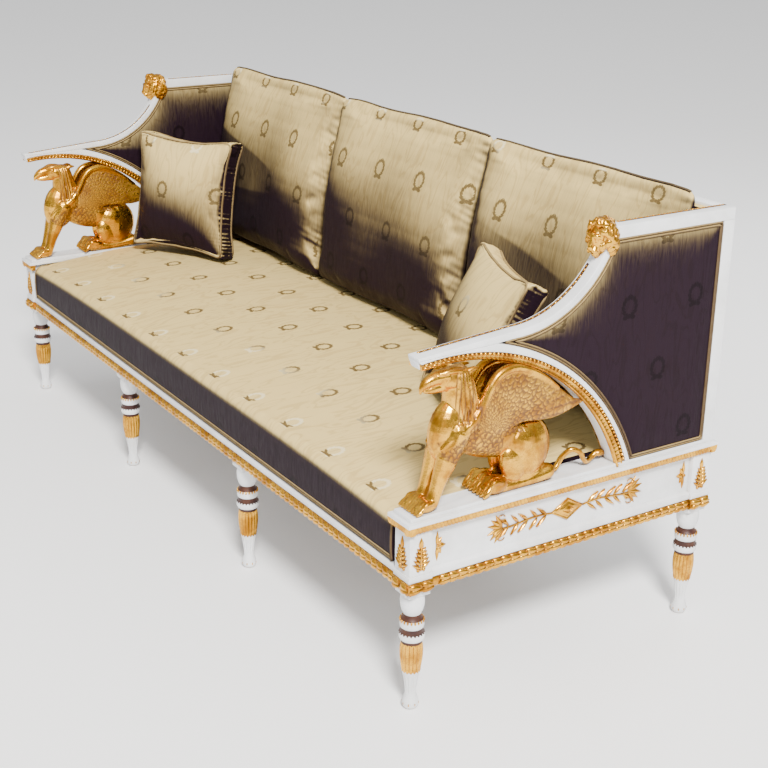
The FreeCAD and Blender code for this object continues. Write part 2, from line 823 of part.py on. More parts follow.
def make_webbing():
    low, count_across, count_along = size("seat_rail_top"), 15, 6
    straps = []
    for number in range(count_across):
        x = f"{number - (count_across - 1) / 2} * 2 * strap_wide - strap_wide / 2"
        straps.append(box(f"strap_across_{number}", x, "6 - front_rail_face", "seat_rail_top",
                          "strap_wide", "front_rail_face + half_depth - 45", "strap"))
    for number in range(count_along):
        y = f"{number - (count_along - 1) / 2} * 1.8 * strap_wide - strap_wide / 2"
        straps.append(box(f"strap_along_{number}", "0 - side_rail_ledge + 4", y, f"{low} + strap",
                          "2 * ( side_rail_ledge - 4 )", "strap_wide", "strap"))
    keep("seat_webbing", group("seat_webbing", straps))


def seat_section(x, drop, inset):
    # Front edge, rounded nose, crown and back of the stuffed seat in the plane at x.
    front = -size("front_rail_foot") - 2 + inset
    base = size("fillet_top") + size("flange_clear") + inset
    floor = size("seat_rail_top") + 2 * size("strap")
    crown = size("seat_crown") - drop - inset
    edge = crown - size("seat_nose_drop") - drop / 3
    wall = -size("front_rail_face") - 1
    back = size("half_depth") - size("post_deep") - 3 - inset
    return wire_in_plane(x, [
        ((front, base), (front - 4, (base + edge) / 2 - 8), (front + 5, edge - 16)),
        ((front + 5, edge - 16), (front + 13, edge - 3), (front + 34, edge)),
        ((front + 34, edge), (-10, crown), (back - 25, crown - 4)),
        ((back - 25, crown - 4), (back - 5, crown - 7), (back, crown - 16)),
        ((back, crown - 16), (back, floor)),
        ((back, floor), (wall, floor)),
        ((wall, floor), (wall, base)),
        ((wall, base), (front, base)),
    ])


def seat_form(inset):
    end = size("seat_end") - inset
    stations = [number / 4 for number in range(-4, 5)]
    wires = [seat_section(end * part, size("seat_end_drop") * part ** 4, inset) for part in stations]
    return Part.makeLoft(wires, True, False)


def make_seat():
    stuffing = formed("seat_stuffing", seat_form(size("cover_thick")))
    keep("seat_stuffing", stuffing)
    keep("seat_cover", cut("seat_cover", formed("seat_cover_form", seat_form(0)), [stuffing]))


# Loose cushions and scatter pillows

def cushion_section(x, draw):
    # Side view of a back cushion: flat back and foot, leaning crowned front, rounded top.
    low, top, back = size("cushion_low"), size("cushion_top") - draw * 0.7, size("half_depth") - 62
    front = 195 + draw
    return wire_in_plane(x, [
        ((back, low + draw * 0.2), (back + 10, top - 12)),
        ((back + 10, top - 12), (back - 16, top), (back - 46, top - 33)),
        ((back - 46, top - 33), (front + 31 + draw * 0.4, (low + top) / 2), (front, low + 36)),
        ((front, low + 36), (front + 5, low + 10), (front + 26, low + draw * 0.2)),
        ((front + 26, low + draw * 0.2), (back, low + draw * 0.2)),
    ])


def make_back_cushions():
    wide = (2 * size("cushion_span") - 2 * size("cushion_gap")) / 3
    pitch = wide + size("cushion_gap")
    stations = [number / 5 for number in range(-5, 6)]
    for number, place in enumerate(["left", "middle", "right"]):
        centre = (number - 1) * pitch
        draws = [size("cushion_draw") * part ** 6 for part in stations]
        wires = [cushion_section(centre + part * wide / 2, draw) for part, draw in zip(stations, draws)]
        label = f"back_cushion_{place}"
        keep(label, formed(label, Part.makeLoft(wires, True, False)))


def pillow_wire(half, draw, depth):
    # A square whose sides are drawn in between its corners.
    corners = [Vector(x * half, depth, z * half) for x, z in [(-1, -1), (1, -1), (1, 1), (-1, 1)]]
    edges = []
    for first, second in zip(corners, corners[1:] + corners[:1]):
        middle = (first + second) * 0.5
        inward = Vector(0, depth, 0) - middle
        edges.append(Part.Arc(first, middle + inward.normalize() * draw, second).toShape())
    return Part.Wire(edges)


def pillow_form():
    half, border, crown = size("pillow_side") / 2, size("pillow_border") / 2, size("pillow_crown")
    draw = size("pillow_draw")

    def dome(out):
        stations = [(0.36, border + crown), (0.8, border + crown * 0.68), (1, border)]
        wires = [pillow_wire(half * part, draw * part, out * depth) for part, depth in stations]
        return Part.makeLoft(wires, True, False)

    rims = [pillow_wire(half, draw, -border), pillow_wire(half, draw, border)]
    return Part.makeLoft(rims, True, True).fuse([dome(-1), dome(1)])


def make_pillows():
    poses = {"left": (Vector(-826, 46, 0), 27, 11.5), "right": (Vector(712, 28, 0), -20, 24)}
    for hand, (spot, yaw, lean) in poses.items():
        turn = Rotation(Vector(0, 0, 1), yaw).multiply(Rotation(Vector(1, 0, 0), -lean))
        label = f"scatter_pillow_{hand}"
        pillow = keep(label, formed(label, pillow_form(), FreeCAD.Placement(spot, turn)))
        lowest = pillow.Shape.optimalBoundingBox(True, False).ZMin
        pillow.Placement.Base.z = size("cushion_low") - lowest


# Carving: seated griffins under the arches and lion heads over the arm joints

def griffin_point(side, x, y, z):
    return Vector(side * (size("griffin_x") + x), y, z)


def griffin_dowels(name, side):
    dowels = []
    for number, (x, y) in enumerate([(16, -352), (-16, -352), (19, -185), (-19, -185)]):
        base = griffin_point(side, x, y, size("slab_top") - 12)
        dowels.append(cylinder(f"{name}_dowel_{number}", "dowel_radius", "20", base, Vector(0, 0, 1)))
    return group(name + "_dowels", dowels)


def turtle(point, heading, turns):
    # Straight runs (a length and no angle) and tangent arcs (a radius and a signed angle) in the side view.
    edges = []
    y, z = point
    for radius, angle in turns:
        if angle == 0:
            ahead = (y + radius * math.cos(heading), z + radius * math.sin(heading))
            edges.append([(y, z), ahead])
            y, z = ahead
            continue
        bend = math.copysign(1, angle)
        centre = (y - bend * radius * math.sin(heading), z + bend * radius * math.cos(heading))
        stops = []
        for part in (0, 0.5, 1):
            turn = heading + math.radians(angle) * part
            reach = bend * radius
            stops.append((centre[0] + reach * math.sin(turn), centre[1] - reach * math.cos(turn)))
        edges.append(stops)
        heading += math.radians(angle)
        y, z = stops[2]
    return edges


def tail_form(side):
    heading = math.radians(-30)
    runs = [(48, 0), (16, 95), (12, 0), (22, -125), (10, 0), (24, 85), (12, 0)]
    route = turtle((-80, 472), heading, runs)
    x = side * size("griffin_x")
    start = Vector(x, *route[0][0])
    ahead = Vector(0, math.cos(heading), math.sin(heading))
    ring = Part.Wire(Part.Circle(start, ahead, size("tail_radius")).toShape())
    path = wire_in_plane(x, route)
    return path.makePipeShell([ring], True, False), Vector(x, *route[-1][-1])


def make_griffins():
    for hand, side in sides.items():
        name = f"griffin_{hand}"

        def at(x, y, z):
            return griffin_point(side, x, y, z)

        pieces = [
            rounded(name + "_chest", at(0, -286, 584), 34, 48, 68, -10),
            rounded(name + "_back", at(0, -196, 560), 30, 96, 50, -14),
            rounded(name + "_neck", at(0, -274, 648), 27, 42, 62),
            rounded(name + "_head", at(0, -282, 697), 22, 42, 24),
            cone(name + "_beak", at(0, -306, 698), at(0, -360, 692), 17, 5),
        ]
        for number, foot in enumerate((1, -1)):
            x = 17 * foot
            pieces += [
                cone(f"{name}_foreleg_{number}", at(x * 0.9, -302, 560), at(x, -338, 448), 19, 11),
                rounded(f"{name}_forepaw_{number}", at(x, -357, 446), 15, 28, 14),
                rounded(f"{name}_haunch_{number}", at(x * 0.9, -112, 512), 21, 57, 64),
                cone(f"{name}_shin_{number}", at(x * 1.1, -62, 455), at(x * 1.1, -168, 446), 15, 12),
                rounded(f"{name}_hindpaw_{number}", at(x * 1.1, -190, 450), 17.5, 37, 18),
                cone(f"{name}_ear_{number}", at(x * 0.8, -262, 706), at(x * 0.9, -240, 727), 8, 3),
            ]
        tail, tip = tail_form(side)
        pieces.append(formed(name + "_tail", tail))
        pieces.append(rounded(name + "_tail_tuft", tip, 7, 13, 8))
        ground_x = low_x(side, "griffin_x - 60", "griffin_x + 60")
        below = box(name + "_ground", ground_x, "0 - half_depth - 50", "slab_top - 60",
                    "120", "2 * half_depth", "60")
        body = keep(name, cut(name, fuse(name + "_form", pieces), [below, griffin_dowels(name, side)]))
        make_wings(hand, side, body)


def make_wings(hand, side, body):
    outline = [
        line((-200, 556), (-244, 592)),
        arc((-244, 592), (-223, 645), (-206, 688)),
        arc((-206, 688), (-166, 704), (-122, 687)),
        arc((-122, 687), (-50, 642), (8, 594)),
        arc((8, 594), (-45, 574), (-112, 580)),
        line((-112, 580), (-200, 556)),
    ]
    blades = []
    for number, (near, far) in enumerate([("26", "37"), ("0 - 37", "0 - 26")]):
        x = low_x(side, f"griffin_x + {near}", f"griffin_x + {far}")
        blades.append(padded(f"wing_{hand}_{number}", "YZ_Plane", outline, "11", x=x))
    trimmed = [cut(blade.Name + "_trimmed", blade, [body]) for blade in blades]
    keep(f"griffin_wings_{hand}", group(f"griffin_wings_{hand}", trimmed))


def make_lion_heads():
    for hand, side in sides.items():
        name = f"lion_head_{hand}"
        x, y, z = size("lion_x"), size("lion_y"), size("lion_z")
        pieces = [
            rounded(name + "_mane", Vector(side * x, y, z), 31, 40, 42),
            rounded(name + "_brow", Vector(side * (x + 6), y - 22, z + 6), 22, 22, 26),
            rounded(name + "_muzzle", Vector(side * (x + 8), y - 34, z - 14), 15, 16, 14),
        ]
        members = [nodes[f"arm_sweep_{hand}"], nodes[f"arm_top_rail_{hand}"], nodes[f"arm_panel_{hand}"]]
        keep(name, cut(name, fuse(name + "_form", pieces), members))


def make_fixing_dowels():
    dowels = []
    for hand, side in sides.items():
        dowels += griffin_dowels(f"fixing_{hand}", side).Links
    keep("fixing_dowels", group("fixing_dowels", dowels))


bores = leg_bores("frame")
screws, sockets = make_brace_screws()
make_corner_blocks(bores)
make_front_rail(bores, screws)
make_rear_rail(bores, screws)
make_side_rails(screws)
make_cross_rails()
make_corner_braces(screws, sockets)
make_legs()
make_front_moulding()
make_side_mouldings()
make_frieze_mounts()
make_plinths()
make_coves()
make_arm_sweeps()
make_arm_arches()
make_top_rails()
make_rear_posts()
make_arm_panels()
make_back()
make_webbing()
make_seat()
make_back_cushions()
make_pillows()
make_griffins()
make_lion_heads()
make_fixing_dowels()
doc.recompute()

failed = [thing.Label for thing in doc.Objects if "Invalid" in thing.State or "Error" in thing.State]
for label, thing in nodes.items():
    if thing.Shape.isNull() or not thing.Shape.isValid() or thing.Shape.Volume <= 0:
        failed.append(label)
if failed:
    raise RuntimeError("failed: " + ", ".join(failed))

os.makedirs("parts", exist_ok=True)
for label, thing in nodes.items():
    thing.Shape.exportStep(f"parts/{label}.step")
    extent = thing.Shape.optimalBoundingBox(True, False)
    print(f"{label:28s} solids {len(thing.Shape.Solids):3d} volume {thing.Shape.Volume / 1000:10.1f} cm3"
          f"  x {extent.XMin:8.1f} {extent.XMax:8.1f}  y {extent.YMin:7.1f} {extent.YMax:7.1f}"
          f"  z {extent.ZMin:7.1f} {extent.ZMax:7.1f}")
print(len(nodes), "nodes")
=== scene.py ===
import math

import bmesh
import bpy
import numpy as np
from mathutils import Matrix, Vector
from mathutils.bvhtree import BVHTree
from mathutils.geometry import delaunay_2d_cdt


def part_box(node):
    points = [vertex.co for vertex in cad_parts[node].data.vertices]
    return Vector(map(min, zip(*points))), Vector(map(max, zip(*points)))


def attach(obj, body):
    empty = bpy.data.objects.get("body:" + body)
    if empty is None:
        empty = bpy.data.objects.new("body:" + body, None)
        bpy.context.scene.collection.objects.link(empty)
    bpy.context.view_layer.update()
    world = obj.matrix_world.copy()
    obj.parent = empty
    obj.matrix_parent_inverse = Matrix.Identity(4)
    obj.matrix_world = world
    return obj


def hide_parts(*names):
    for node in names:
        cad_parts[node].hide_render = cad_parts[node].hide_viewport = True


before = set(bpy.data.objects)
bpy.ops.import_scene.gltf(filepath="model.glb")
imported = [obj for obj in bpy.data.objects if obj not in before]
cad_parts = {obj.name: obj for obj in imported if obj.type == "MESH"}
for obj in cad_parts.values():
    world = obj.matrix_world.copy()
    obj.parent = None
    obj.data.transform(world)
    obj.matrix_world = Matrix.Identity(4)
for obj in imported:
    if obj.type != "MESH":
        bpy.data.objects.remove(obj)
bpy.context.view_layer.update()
sides = (("right", 1.0), ("left", -1.0))
print("frame loaded")


# nodes and materials

def place(tree, kind, inputs=None, **settings):
    node = tree.nodes.new(kind)
    for key, value in settings.items():
        setattr(node, key, value)
    for key, value in (inputs or {}).items():
        if isinstance(value, bpy.types.NodeSocket):
            tree.links.new(value, node.inputs[key])
        else:
            node.inputs[key].default_value = value
    return node


def calc(tree, operation, a, b=0.0, c=0.0):
    return place(tree, "ShaderNodeMath", {0: a, 1: b, 2: c}, operation=operation).outputs[0]


def mixColour(tree, factor, a, b, mode="MIX"):
    return place(tree, "ShaderNodeMix", {0: factor, 6: a, 7: b},
                 data_type="RGBA", blend_type=mode).outputs[2]


def fade(tree, value, low, high, toLow=0.0, toHigh=1.0):
    return place(tree, "ShaderNodeMapRange",
                 {"Value": value, "From Min": low, "From Max": high, "To Min": toLow, "To Max": toHigh},
                 interpolation_type="SMOOTHSTEP").outputs[0]


def newGroup(name, inputs, outputs):
    group = bpy.data.node_groups.new(name, "ShaderNodeTree")
    for label, kind, value in inputs:
        socket = group.interface.new_socket(label, in_out="INPUT", socket_type=kind)
        if value is not None:
            socket.default_value = value
    for label, kind in outputs:
        group.interface.new_socket(label, in_out="OUTPUT", socket_type=kind)
    return group, group.nodes.new("NodeGroupInput").outputs, group.nodes.new("NodeGroupOutput").inputs


number, vector = "NodeSocketFloat", "NodeSocketVector"


def ageAndShadeGroup():  # patches, specks and brush streaks in object space, and painted shade in the recesses from ambient occlusion
    tree, given, made = newGroup(
        "ageAndShade", [("Scale", number, 1.0), ("Reach", number, 0.012)],
        [("Patch", number), ("Speck", number), ("Streak", number), ("RecessShade", number)])
    spot = place(tree, "ShaderNodeTexCoord").outputs["Object"]
    patch = place(tree, "ShaderNodeTexNoise", {"Vector": spot, "Detail": 4.0, "Roughness": 0.6,
                  "Scale": calc(tree, "MULTIPLY", given["Scale"], 14.0)}).outputs[0]
    speck = place(tree, "ShaderNodeTexNoise", {"Vector": spot, "Detail": 3.0, "Roughness": 0.7,
                  "Scale": calc(tree, "MULTIPLY", given["Scale"], 160.0)}).outputs[0]
    long = place(tree, "ShaderNodeMapping", {"Vector": spot, "Scale": (60.0, 60.0, 420.0)}).outputs[0]
    streak = place(tree, "ShaderNodeTexNoise", {"Vector": long, "Scale": given["Scale"],
                                                "Detail": 3.0}).outputs[0]
    # painted shade: the ambient occlusion node darkens recesses where shade falls
    shade = place(tree, "ShaderNodeAmbientOcclusion", {"Distance": given["Reach"]}, samples=6).outputs["AO"]
    tree.links.new(fade(tree, patch, 0.38, 0.66), made["Patch"])
    tree.links.new(fade(tree, speck, 0.52, 0.72), made["Speck"])
    tree.links.new(streak, made["Streak"])
    tree.links.new(fade(tree, shade, 0.85, 0.25), made["RecessShade"])
    return tree


def paintedSatinLightGroup(towards, low, high):  # painted light and shade on the satin: lit colour where a face turns towards a fixed light direction, shaded colour where it turns away
    tree, given, made = newGroup("paintedSatinLight", [("Spread", number, 0.0)], [("Bright", number), ("PaintedTopLight", number)])
    normal = place(tree, "ShaderNodeNewGeometry").outputs["Normal"]
    # painted light: how far the face turns towards a fixed light direction picks the lit or the shaded colour
    along = place(tree, "ShaderNodeVectorMath", {0: normal, 1: towards},
                  operation="DOT_PRODUCT").outputs["Value"]
    part = place(tree, "ShaderNodeSeparateXYZ", {0: normal})
    # painted highlight: faces that look up and a little forward show the motif in a light colour
    toFront, upward = fade(tree, part.outputs[1], -0.062, -0.076), fade(tree, part.outputs[2], 0.48, 0.64)
    shifted = calc(tree, "ADD", along, given["Spread"])
    tree.links.new(fade(tree, shifted, low, high), made["Bright"])
    tree.links.new(calc(tree, "MULTIPLY", toFront, upward), made["PaintedTopLight"])
    return tree


def wateredGroup():  # watered streaks along the warp and the threads across them
    tree, given, made = newGroup("watered", [("Cloth", vector, None)],
                                 [("Streak", number), ("Line", number), ("Thread", number)])
    long = place(tree, "ShaderNodeMapping", {"Vector": given["Cloth"], "Scale": (150.0, 9.0, 1.0)}).outputs[0]
    drift = place(tree, "ShaderNodeTexNoise", {"Vector": long, "Scale": 1.0, "Detail": 4.0,
                                               "Distortion": 0.6}).outputs[0]
    bands = calc(tree, "SINE", calc(tree, "MULTIPLY", drift, 34.0))
    part = place(tree, "ShaderNodeSeparateXYZ", {0: given["Cloth"]})
    warp = calc(tree, "SINE", calc(tree, "MULTIPLY", part.outputs[0], 2 * math.pi / 0.0016))
    weft = calc(tree, "SINE", calc(tree, "MULTIPLY", part.outputs[1], 2 * math.pi / 0.0021))
    tree.links.new(calc(tree, "MULTIPLY_ADD", bands, 0.5, 0.5), made["Streak"])
    ripple = place(tree, "ShaderNodeMapping", {"Vector": given["Cloth"], "Scale": (19.0, 5.0, 1.0)}).outputs[0]
    grain = place(tree, "ShaderNodeTexNoise", {"Vector": ripple, "Scale": 1.0, "Detail": 2.0,
                                               "Distortion": 0.9}).outputs[0]
    rings = calc(tree, "SINE", calc(tree, "MULTIPLY", grain, 40.0))
    tree.links.new(fade(tree, rings, 0.35, 0.95), made["Line"])
    tree.links.new(calc(tree, "MULTIPLY_ADD", calc(tree, "MULTIPLY", warp, weft), 0.5, 0.5), made["Thread"])
    return tree


def wreathGroup(across, along, ring):  # a small tied wreath on a half-drop grid
    tree, given, made = newGroup("wreath", [("Cloth", vector, None)], [("Mask", number)])
    part = place(tree, "ShaderNodeSeparateXYZ", {0: given["Cloth"]})
    rowAt = calc(tree, "DIVIDE", part.outputs[1], along)
    odd = calc(tree, "MODULO", calc(tree, "FLOOR", rowAt), 2.0)
    columnAt = calc(tree, "MULTIPLY_ADD", odd, 0.5, calc(tree, "DIVIDE", part.outputs[0], across))
    x = calc(tree, "MULTIPLY", calc(tree, "SUBTRACT", calc(tree, "FRACT", columnAt), 0.5), across)
    y = calc(tree, "MULTIPLY", calc(tree, "SUBTRACT", calc(tree, "FRACT", rowAt), 0.5), along)
    wide = calc(tree, "DIVIDE", x, 0.86)
    reach = calc(tree, "SQRT", calc(tree, "ADD", calc(tree, "MULTIPLY", wide, wide),
                                    calc(tree, "MULTIPLY", y, y)))
    turn = calc(tree, "ARCTAN2", wide, y)
    leaves = calc(tree, "SINE", calc(tree, "MULTIPLY_ADD", calc(tree, "ABSOLUTE", turn), 13.0,
                                     calc(tree, "MULTIPLY", reach, 900.0)))
    wave = calc(tree, "MULTIPLY", leaves, 0.0015)
    gap = calc(tree, "ABSOLUTE", calc(tree, "SUBTRACT", reach, ring))
    band = fade(tree, calc(tree, "ADD", gap, wave), 0.0032, 0.0058, 1.0, 0.0)
    side = calc(tree, "SUBTRACT", calc(tree, "ABSOLUTE", x), 0.0100)
    down = calc(tree, "ADD", y, ring + 0.0030)
    bowReach = calc(tree, "SQRT", calc(tree, "ADD", calc(tree, "MULTIPLY", side, side),
                                       calc(tree, "MULTIPLY", calc(tree, "MULTIPLY", down, down), 2.2)))
    bow = fade(tree, bowReach, 0.0052, 0.0076, 1.0, 0.0)
    tree.links.new(calc(tree, "MAXIMUM", band, bow), made["Mask"])
    return tree


ageAndShade = ageAndShadeGroup()
# painted light on the satin: a fixed light direction, up and to the front right, and the turn at which faces go
# from shaded to lit
paintedSatinLight = paintedSatinLightGroup((0.30, -0.25, 0.92), 0.30, 0.75)
watered = wateredGroup()
motifAcross, motifAlong = 0.18, 0.145
wreath = wreathGroup(motifAcross, motifAlong, 0.0195)


def newMaterial(name):
    material = bpy.data.materials.new(name)
    material.use_nodes = True
    return material, material.node_tree, material.node_tree.nodes["Principled BSDF"]


def useGroup(tree, group, **values):
    return place(tree, "ShaderNodeGroup", values, node_tree=group).outputs


def bumpInto(tree, shader, height, strength, distance):
    bump = place(tree, "ShaderNodeBump", {"Height": height, "Strength": strength, "Distance": distance})
    tree.links.new(bump.outputs[0], shader.inputs["Normal"])


def wearAndShadeMaterial(name, look):  # paint, gilding, timber and steel: two tones, painted shade in recesses and carved cuts, worn specks
    material, tree, shader = newMaterial(name)
    agedAndShaded = useGroup(tree, ageAndShade, Scale=look["scale"], Reach=look["reach"])
    tone = mixColour(tree, agedAndShaded["Patch"], look["light"], look["deep"])
    if look.get("grain"):
        tone = mixColour(tree, calc(tree, "MULTIPLY", agedAndShaded["Streak"], look["grain"]), tone, look["wornAndShaded"])
    wearAndShade = calc(tree, "MULTIPLY", agedAndShaded["Speck"], look["specks"])
    # painted shade in the recesses, in the same dark colour as the worn specks
    wearAndShade = calc(tree, "MAXIMUM", wearAndShade, calc(tree, "MULTIPLY", agedAndShaded["RecessShade"], look["recess"]))
    if look.get("cut"):
        # painted shade in the carved cuts, read from the cut attribute
        cutShade = place(tree, "ShaderNodeAttribute", attribute_name="cut").outputs["Fac"]
        wearAndShade = calc(tree, "MAXIMUM", wearAndShade, calc(tree, "MULTIPLY", cutShade, look["cut"]))
    tree.links.new(mixColour(tree, wearAndShade, tone, look["wornAndShaded"]), shader.inputs["Base Color"])
    rough = calc(tree, "MULTIPLY_ADD", agedAndShaded["Patch"], look["roughSpread"], look["rough"])
    tree.links.new(calc(tree, "MULTIPLY_ADD", wearAndShade, 0.25, rough), shader.inputs["Roughness"])
    if look["metal"] > 0:
        tree.links.new(calc(tree, "MULTIPLY_ADD", wearAndShade, -0.8 * look["metal"], look["metal"]),
                       shader.inputs["Metallic"])
    relief = calc(tree, "MULTIPLY_ADD", agedAndShaded["Speck"], 0.35, agedAndShaded["Streak"])
    bumpInto(tree, shader, relief, look["bump"], 0.0006)
    return material


whitePaint = wearAndShadeMaterial("whitePaint", {
    "light": (0.80, 0.81, 0.82, 1), "deep": (0.70, 0.705, 0.70, 1), "wornAndShaded": (0.36, 0.31, 0.25, 1),
    "scale": 0.8, "reach": 0.010, "specks": 0.05, "recess": 0.55, "rough": 0.34, "roughSpread": 0.14,
    "metal": 0.0, "bump": 0.20})
giltLook = {"light": (0.80, 0.415, 0.036, 1), "deep": (0.44, 0.18, 0.009, 1),
            "wornAndShaded": (0.075, 0.022, 0.006, 1), "scale": 1.6, "reach": 0.008, "specks": 0.30, "recess": 0.90,
            "rough": 0.20, "roughSpread": 0.14, "metal": 1.0, "bump": 0.28}
gilding = wearAndShadeMaterial("gilding", giltLook)
# cut and recess set how strongly carved cuts and recesses get painted shade
giltCarving = wearAndShadeMaterial("giltCarving", {**giltLook, "cut": 0.85, "reach": 0.012, "recess": 0.7,
                                           "specks": 0.42})
bole = wearAndShadeMaterial("bole", {
    "light": (0.032, 0.008, 0.006, 1), "deep": (0.075, 0.024, 0.010, 1), "wornAndShaded": (0.015, 0.005, 0.004, 1),
    "scale": 2.0, "reach": 0.006, "specks": 0.4, "recess": 0.6, "rough": 0.42, "roughSpread": 0.15,
    "metal": 0.25, "bump": 0.25})
bareWood = wearAndShadeMaterial("bareWood", {
    "light": (0.46, 0.30, 0.16, 1), "deep": (0.36, 0.22, 0.11, 1), "wornAndShaded": (0.20, 0.11, 0.05, 1),
    "scale": 0.7, "reach": 0.02, "specks": 0.1, "recess": 0.3, "rough": 0.60, "roughSpread": 0.15,
    "metal": 0.0, "bump": 0.35, "grain": 0.6})
steel = wearAndShadeMaterial("screwSteel", {
    "light": (0.55, 0.55, 0.56, 1), "deep": (0.42, 0.41, 0.40, 1), "wornAndShaded": (0.20, 0.11, 0.06, 1),
    "scale": 3.0, "reach": 0.004, "specks": 0.3, "recess": 0.5, "rough": 0.35, "roughSpread": 0.15,
    "metal": 1.0, "bump": 0.2})


def silkMaterial(name, look):
    material, tree, shader = newMaterial(name)
    cloth = place(tree, "ShaderNodeUVMap", uv_map="cloth").outputs[0]
    water = useGroup(tree, watered, Cloth=cloth)
    spread = calc(tree, "MULTIPLY_ADD", water["Streak"], look["water"], -0.5 * look["water"])
    satinLight = useGroup(tree, paintedSatinLight, Spread=spread)
    # painted light and shade: lit colour on faces turned to the light, shaded colour on the rest
    paintedShadeGround = mixColour(tree, satinLight["Bright"], look["shadedColour"], look["litColour"])
    paintedShadeGround = mixColour(tree, calc(tree, "MULTIPLY", water["Line"], look["lines"]), paintedShadeGround, look["line"],
                       "MULTIPLY")
    base = paintedShadeGround
    if look["motif"] > 0:
        mask = useGroup(tree, wreath, Cloth=cloth)["Mask"]
        deep = mixColour(tree, 1.0, paintedShadeGround, look["motifDark"], "MULTIPLY")
        # painted highlight: the motif turns light on faces that look up, and shows more strongly on the painted
        # lit side
        shown = mixColour(tree, satinLight["PaintedTopLight"], deep, look["motifLitColour"])
        strength = calc(tree, "MULTIPLY_ADD", satinLight["Bright"], 0.35 * look["motif"], 0.65 * look["motif"])
        base = mixColour(tree, calc(tree, "MULTIPLY", mask, strength), paintedShadeGround, shown)
    tree.links.new(base, shader.inputs["Base Color"])
    tree.links.new(calc(tree, "MULTIPLY_ADD", water["Streak"], 0.14, look["rough"]), shader.inputs["Roughness"])
    shader.inputs["Sheen Weight"].default_value = look["sheen"]
    shader.inputs["Sheen Roughness"].default_value = 0.45
    shader.inputs["Sheen Tint"].default_value = look["sheenTint"]
    shader.inputs["Specular IOR Level"].default_value = 0.07
    relief = calc(tree, "MULTIPLY_ADD", water["Streak"], 0.5, water["Thread"])
    bumpInto(tree, shader, relief, look["bump"], 0.0004)
    return material


# the satin's two ground colours are painted shade and painted light, chosen by how each face is turned to a
# fixed light direction
silkLook = {"shadedColour": (0.013, 0.006, 0.011, 1), "litColour": (0.69, 0.515, 0.20, 1), "water": 0.03, "lines": 0.40,
            "line": (0.66, 0.60, 0.52, 1), "motif": 0.92, "motifDark": (0.16, 0.13, 0.11, 1),
            "motifLitColour": (0.80, 0.68, 0.40, 1), "rough": 0.48, "sheen": 0.01,
            "sheenTint": (0.85, 0.75, 0.55, 1), "bump": 0.22}
oliveSilk = silkMaterial("oliveSilk", silkLook)
plainSilk = silkMaterial("plainSilk", {**silkLook, "motif": 0.0, "bump": 0.30})
pipingSilk = silkMaterial("pipingSilk", {**silkLook, "motif": 0.0, "shadedColour": (0.085, 0.055, 0.030, 1),
                                         "litColour": (0.30, 0.21, 0.085, 1), "rough": 0.5})
weltSilk = silkMaterial("weltSilk", {**silkLook, "motif": 0.0, "shadedColour": (0.020, 0.012, 0.013, 1),
                                     "litColour": (0.10, 0.07, 0.035, 1), "rough": 0.5})
jute = silkMaterial("jute", {**silkLook, "motif": 0.0, "shadedColour": (0.25, 0.18, 0.10, 1),
                             "litColour": (0.36, 0.27, 0.15, 1), "rough": 0.8, "bump": 0.8})
print("materials made")


# meshes and pieces

class Shape:  # gathers the points and faces of one piece
    def __init__(self):
        self.points, self.faces, self.count = [], [], 0

    def add(self, points, faces):
        points = np.asarray(points, float).reshape(-1, 3)
        self.points.append(points)
        self.faces.extend(tuple(int(i) + self.count for i in face) for face in faces)
        self.count += len(points)
        return self

    def mesh(self, name, sharp=None):
        mesh = bpy.data.meshes.new(name)
        mesh.from_pydata(np.concatenate(self.points).tolist(), [], self.faces)
        form = bmesh.new()
        form.from_mesh(mesh)
        bmesh.ops.recalc_face_normals(form, faces=form.faces)
        form.to_mesh(mesh)
        form.free()
        mesh.polygons.foreach_set("use_smooth", [True] * len(mesh.polygons))
        if sharp:
            mesh.set_sharp_from_angle(angle=math.radians(sharp))
        return mesh


def gridFaces(rows, columns, closeRows=False, closeColumns=False):
    faces = []
    for r in range(rows if closeRows else rows - 1):
        for c in range(columns if closeColumns else columns - 1):
            r2, c2 = (r + 1) % rows, (c + 1) % columns
            faces.append((r * columns + c, r * columns + c2, r2 * columns + c2, r2 * columns + c))
    return faces


def capped(rows, columns):  # a run of closed rings with both ends filled
    last = (rows - 1) * columns
    return gridFaces(rows, columns, False, True) + [tuple(range(columns)), tuple(range(last, last + columns))]


def slabFaces(rows, columns):  # two grids, one behind the other, joined round their rim
    count, front = rows * columns, gridFaces(rows, columns)
    rim = list(range(columns)) + [r * columns + columns - 1 for r in range(1, rows)]
    rim += [(rows - 1) * columns + c for c in range(columns - 2, -1, -1)]
    rim += [r * columns for r in range(rows - 2, 0, -1)]
    faces = front + [tuple(count + i for i in reversed(f)) for f in front]
    return faces + [(a, b, b + count, a + count) for a, b in zip(rim, rim[1:] + rim[:1])]


def tube(path, radius, around=8, closed=False):
    path = np.asarray(path, float)
    radii = np.broadcast_to(np.asarray(radius, float), (len(path),))
    tangents = np.roll(path, -1, 0) - np.roll(path, 1, 0)
    if not closed:
        tangents[0], tangents[-1] = path[1] - path[0], path[-1] - path[-2]
    tangents /= np.linalg.norm(tangents, axis=1)[:, None]
    side = np.cross(tangents[0], (0.3, 0.2, 1.0))
    angles = np.linspace(0, 2 * math.pi, around, endpoint=False)
    rows = []
    for i in range(len(path)):
        side = side - tangents[i] * (side @ tangents[i])
        side /= np.linalg.norm(side)
        up = np.cross(tangents[i], side)
        rows.append(path[i] + radii[i] * (np.cos(angles)[:, None] * side + np.sin(angles)[:, None] * up))
    faces = gridFaces(len(path), around, True, True) if closed else capped(len(path), around)
    return np.concatenate(rows), faces


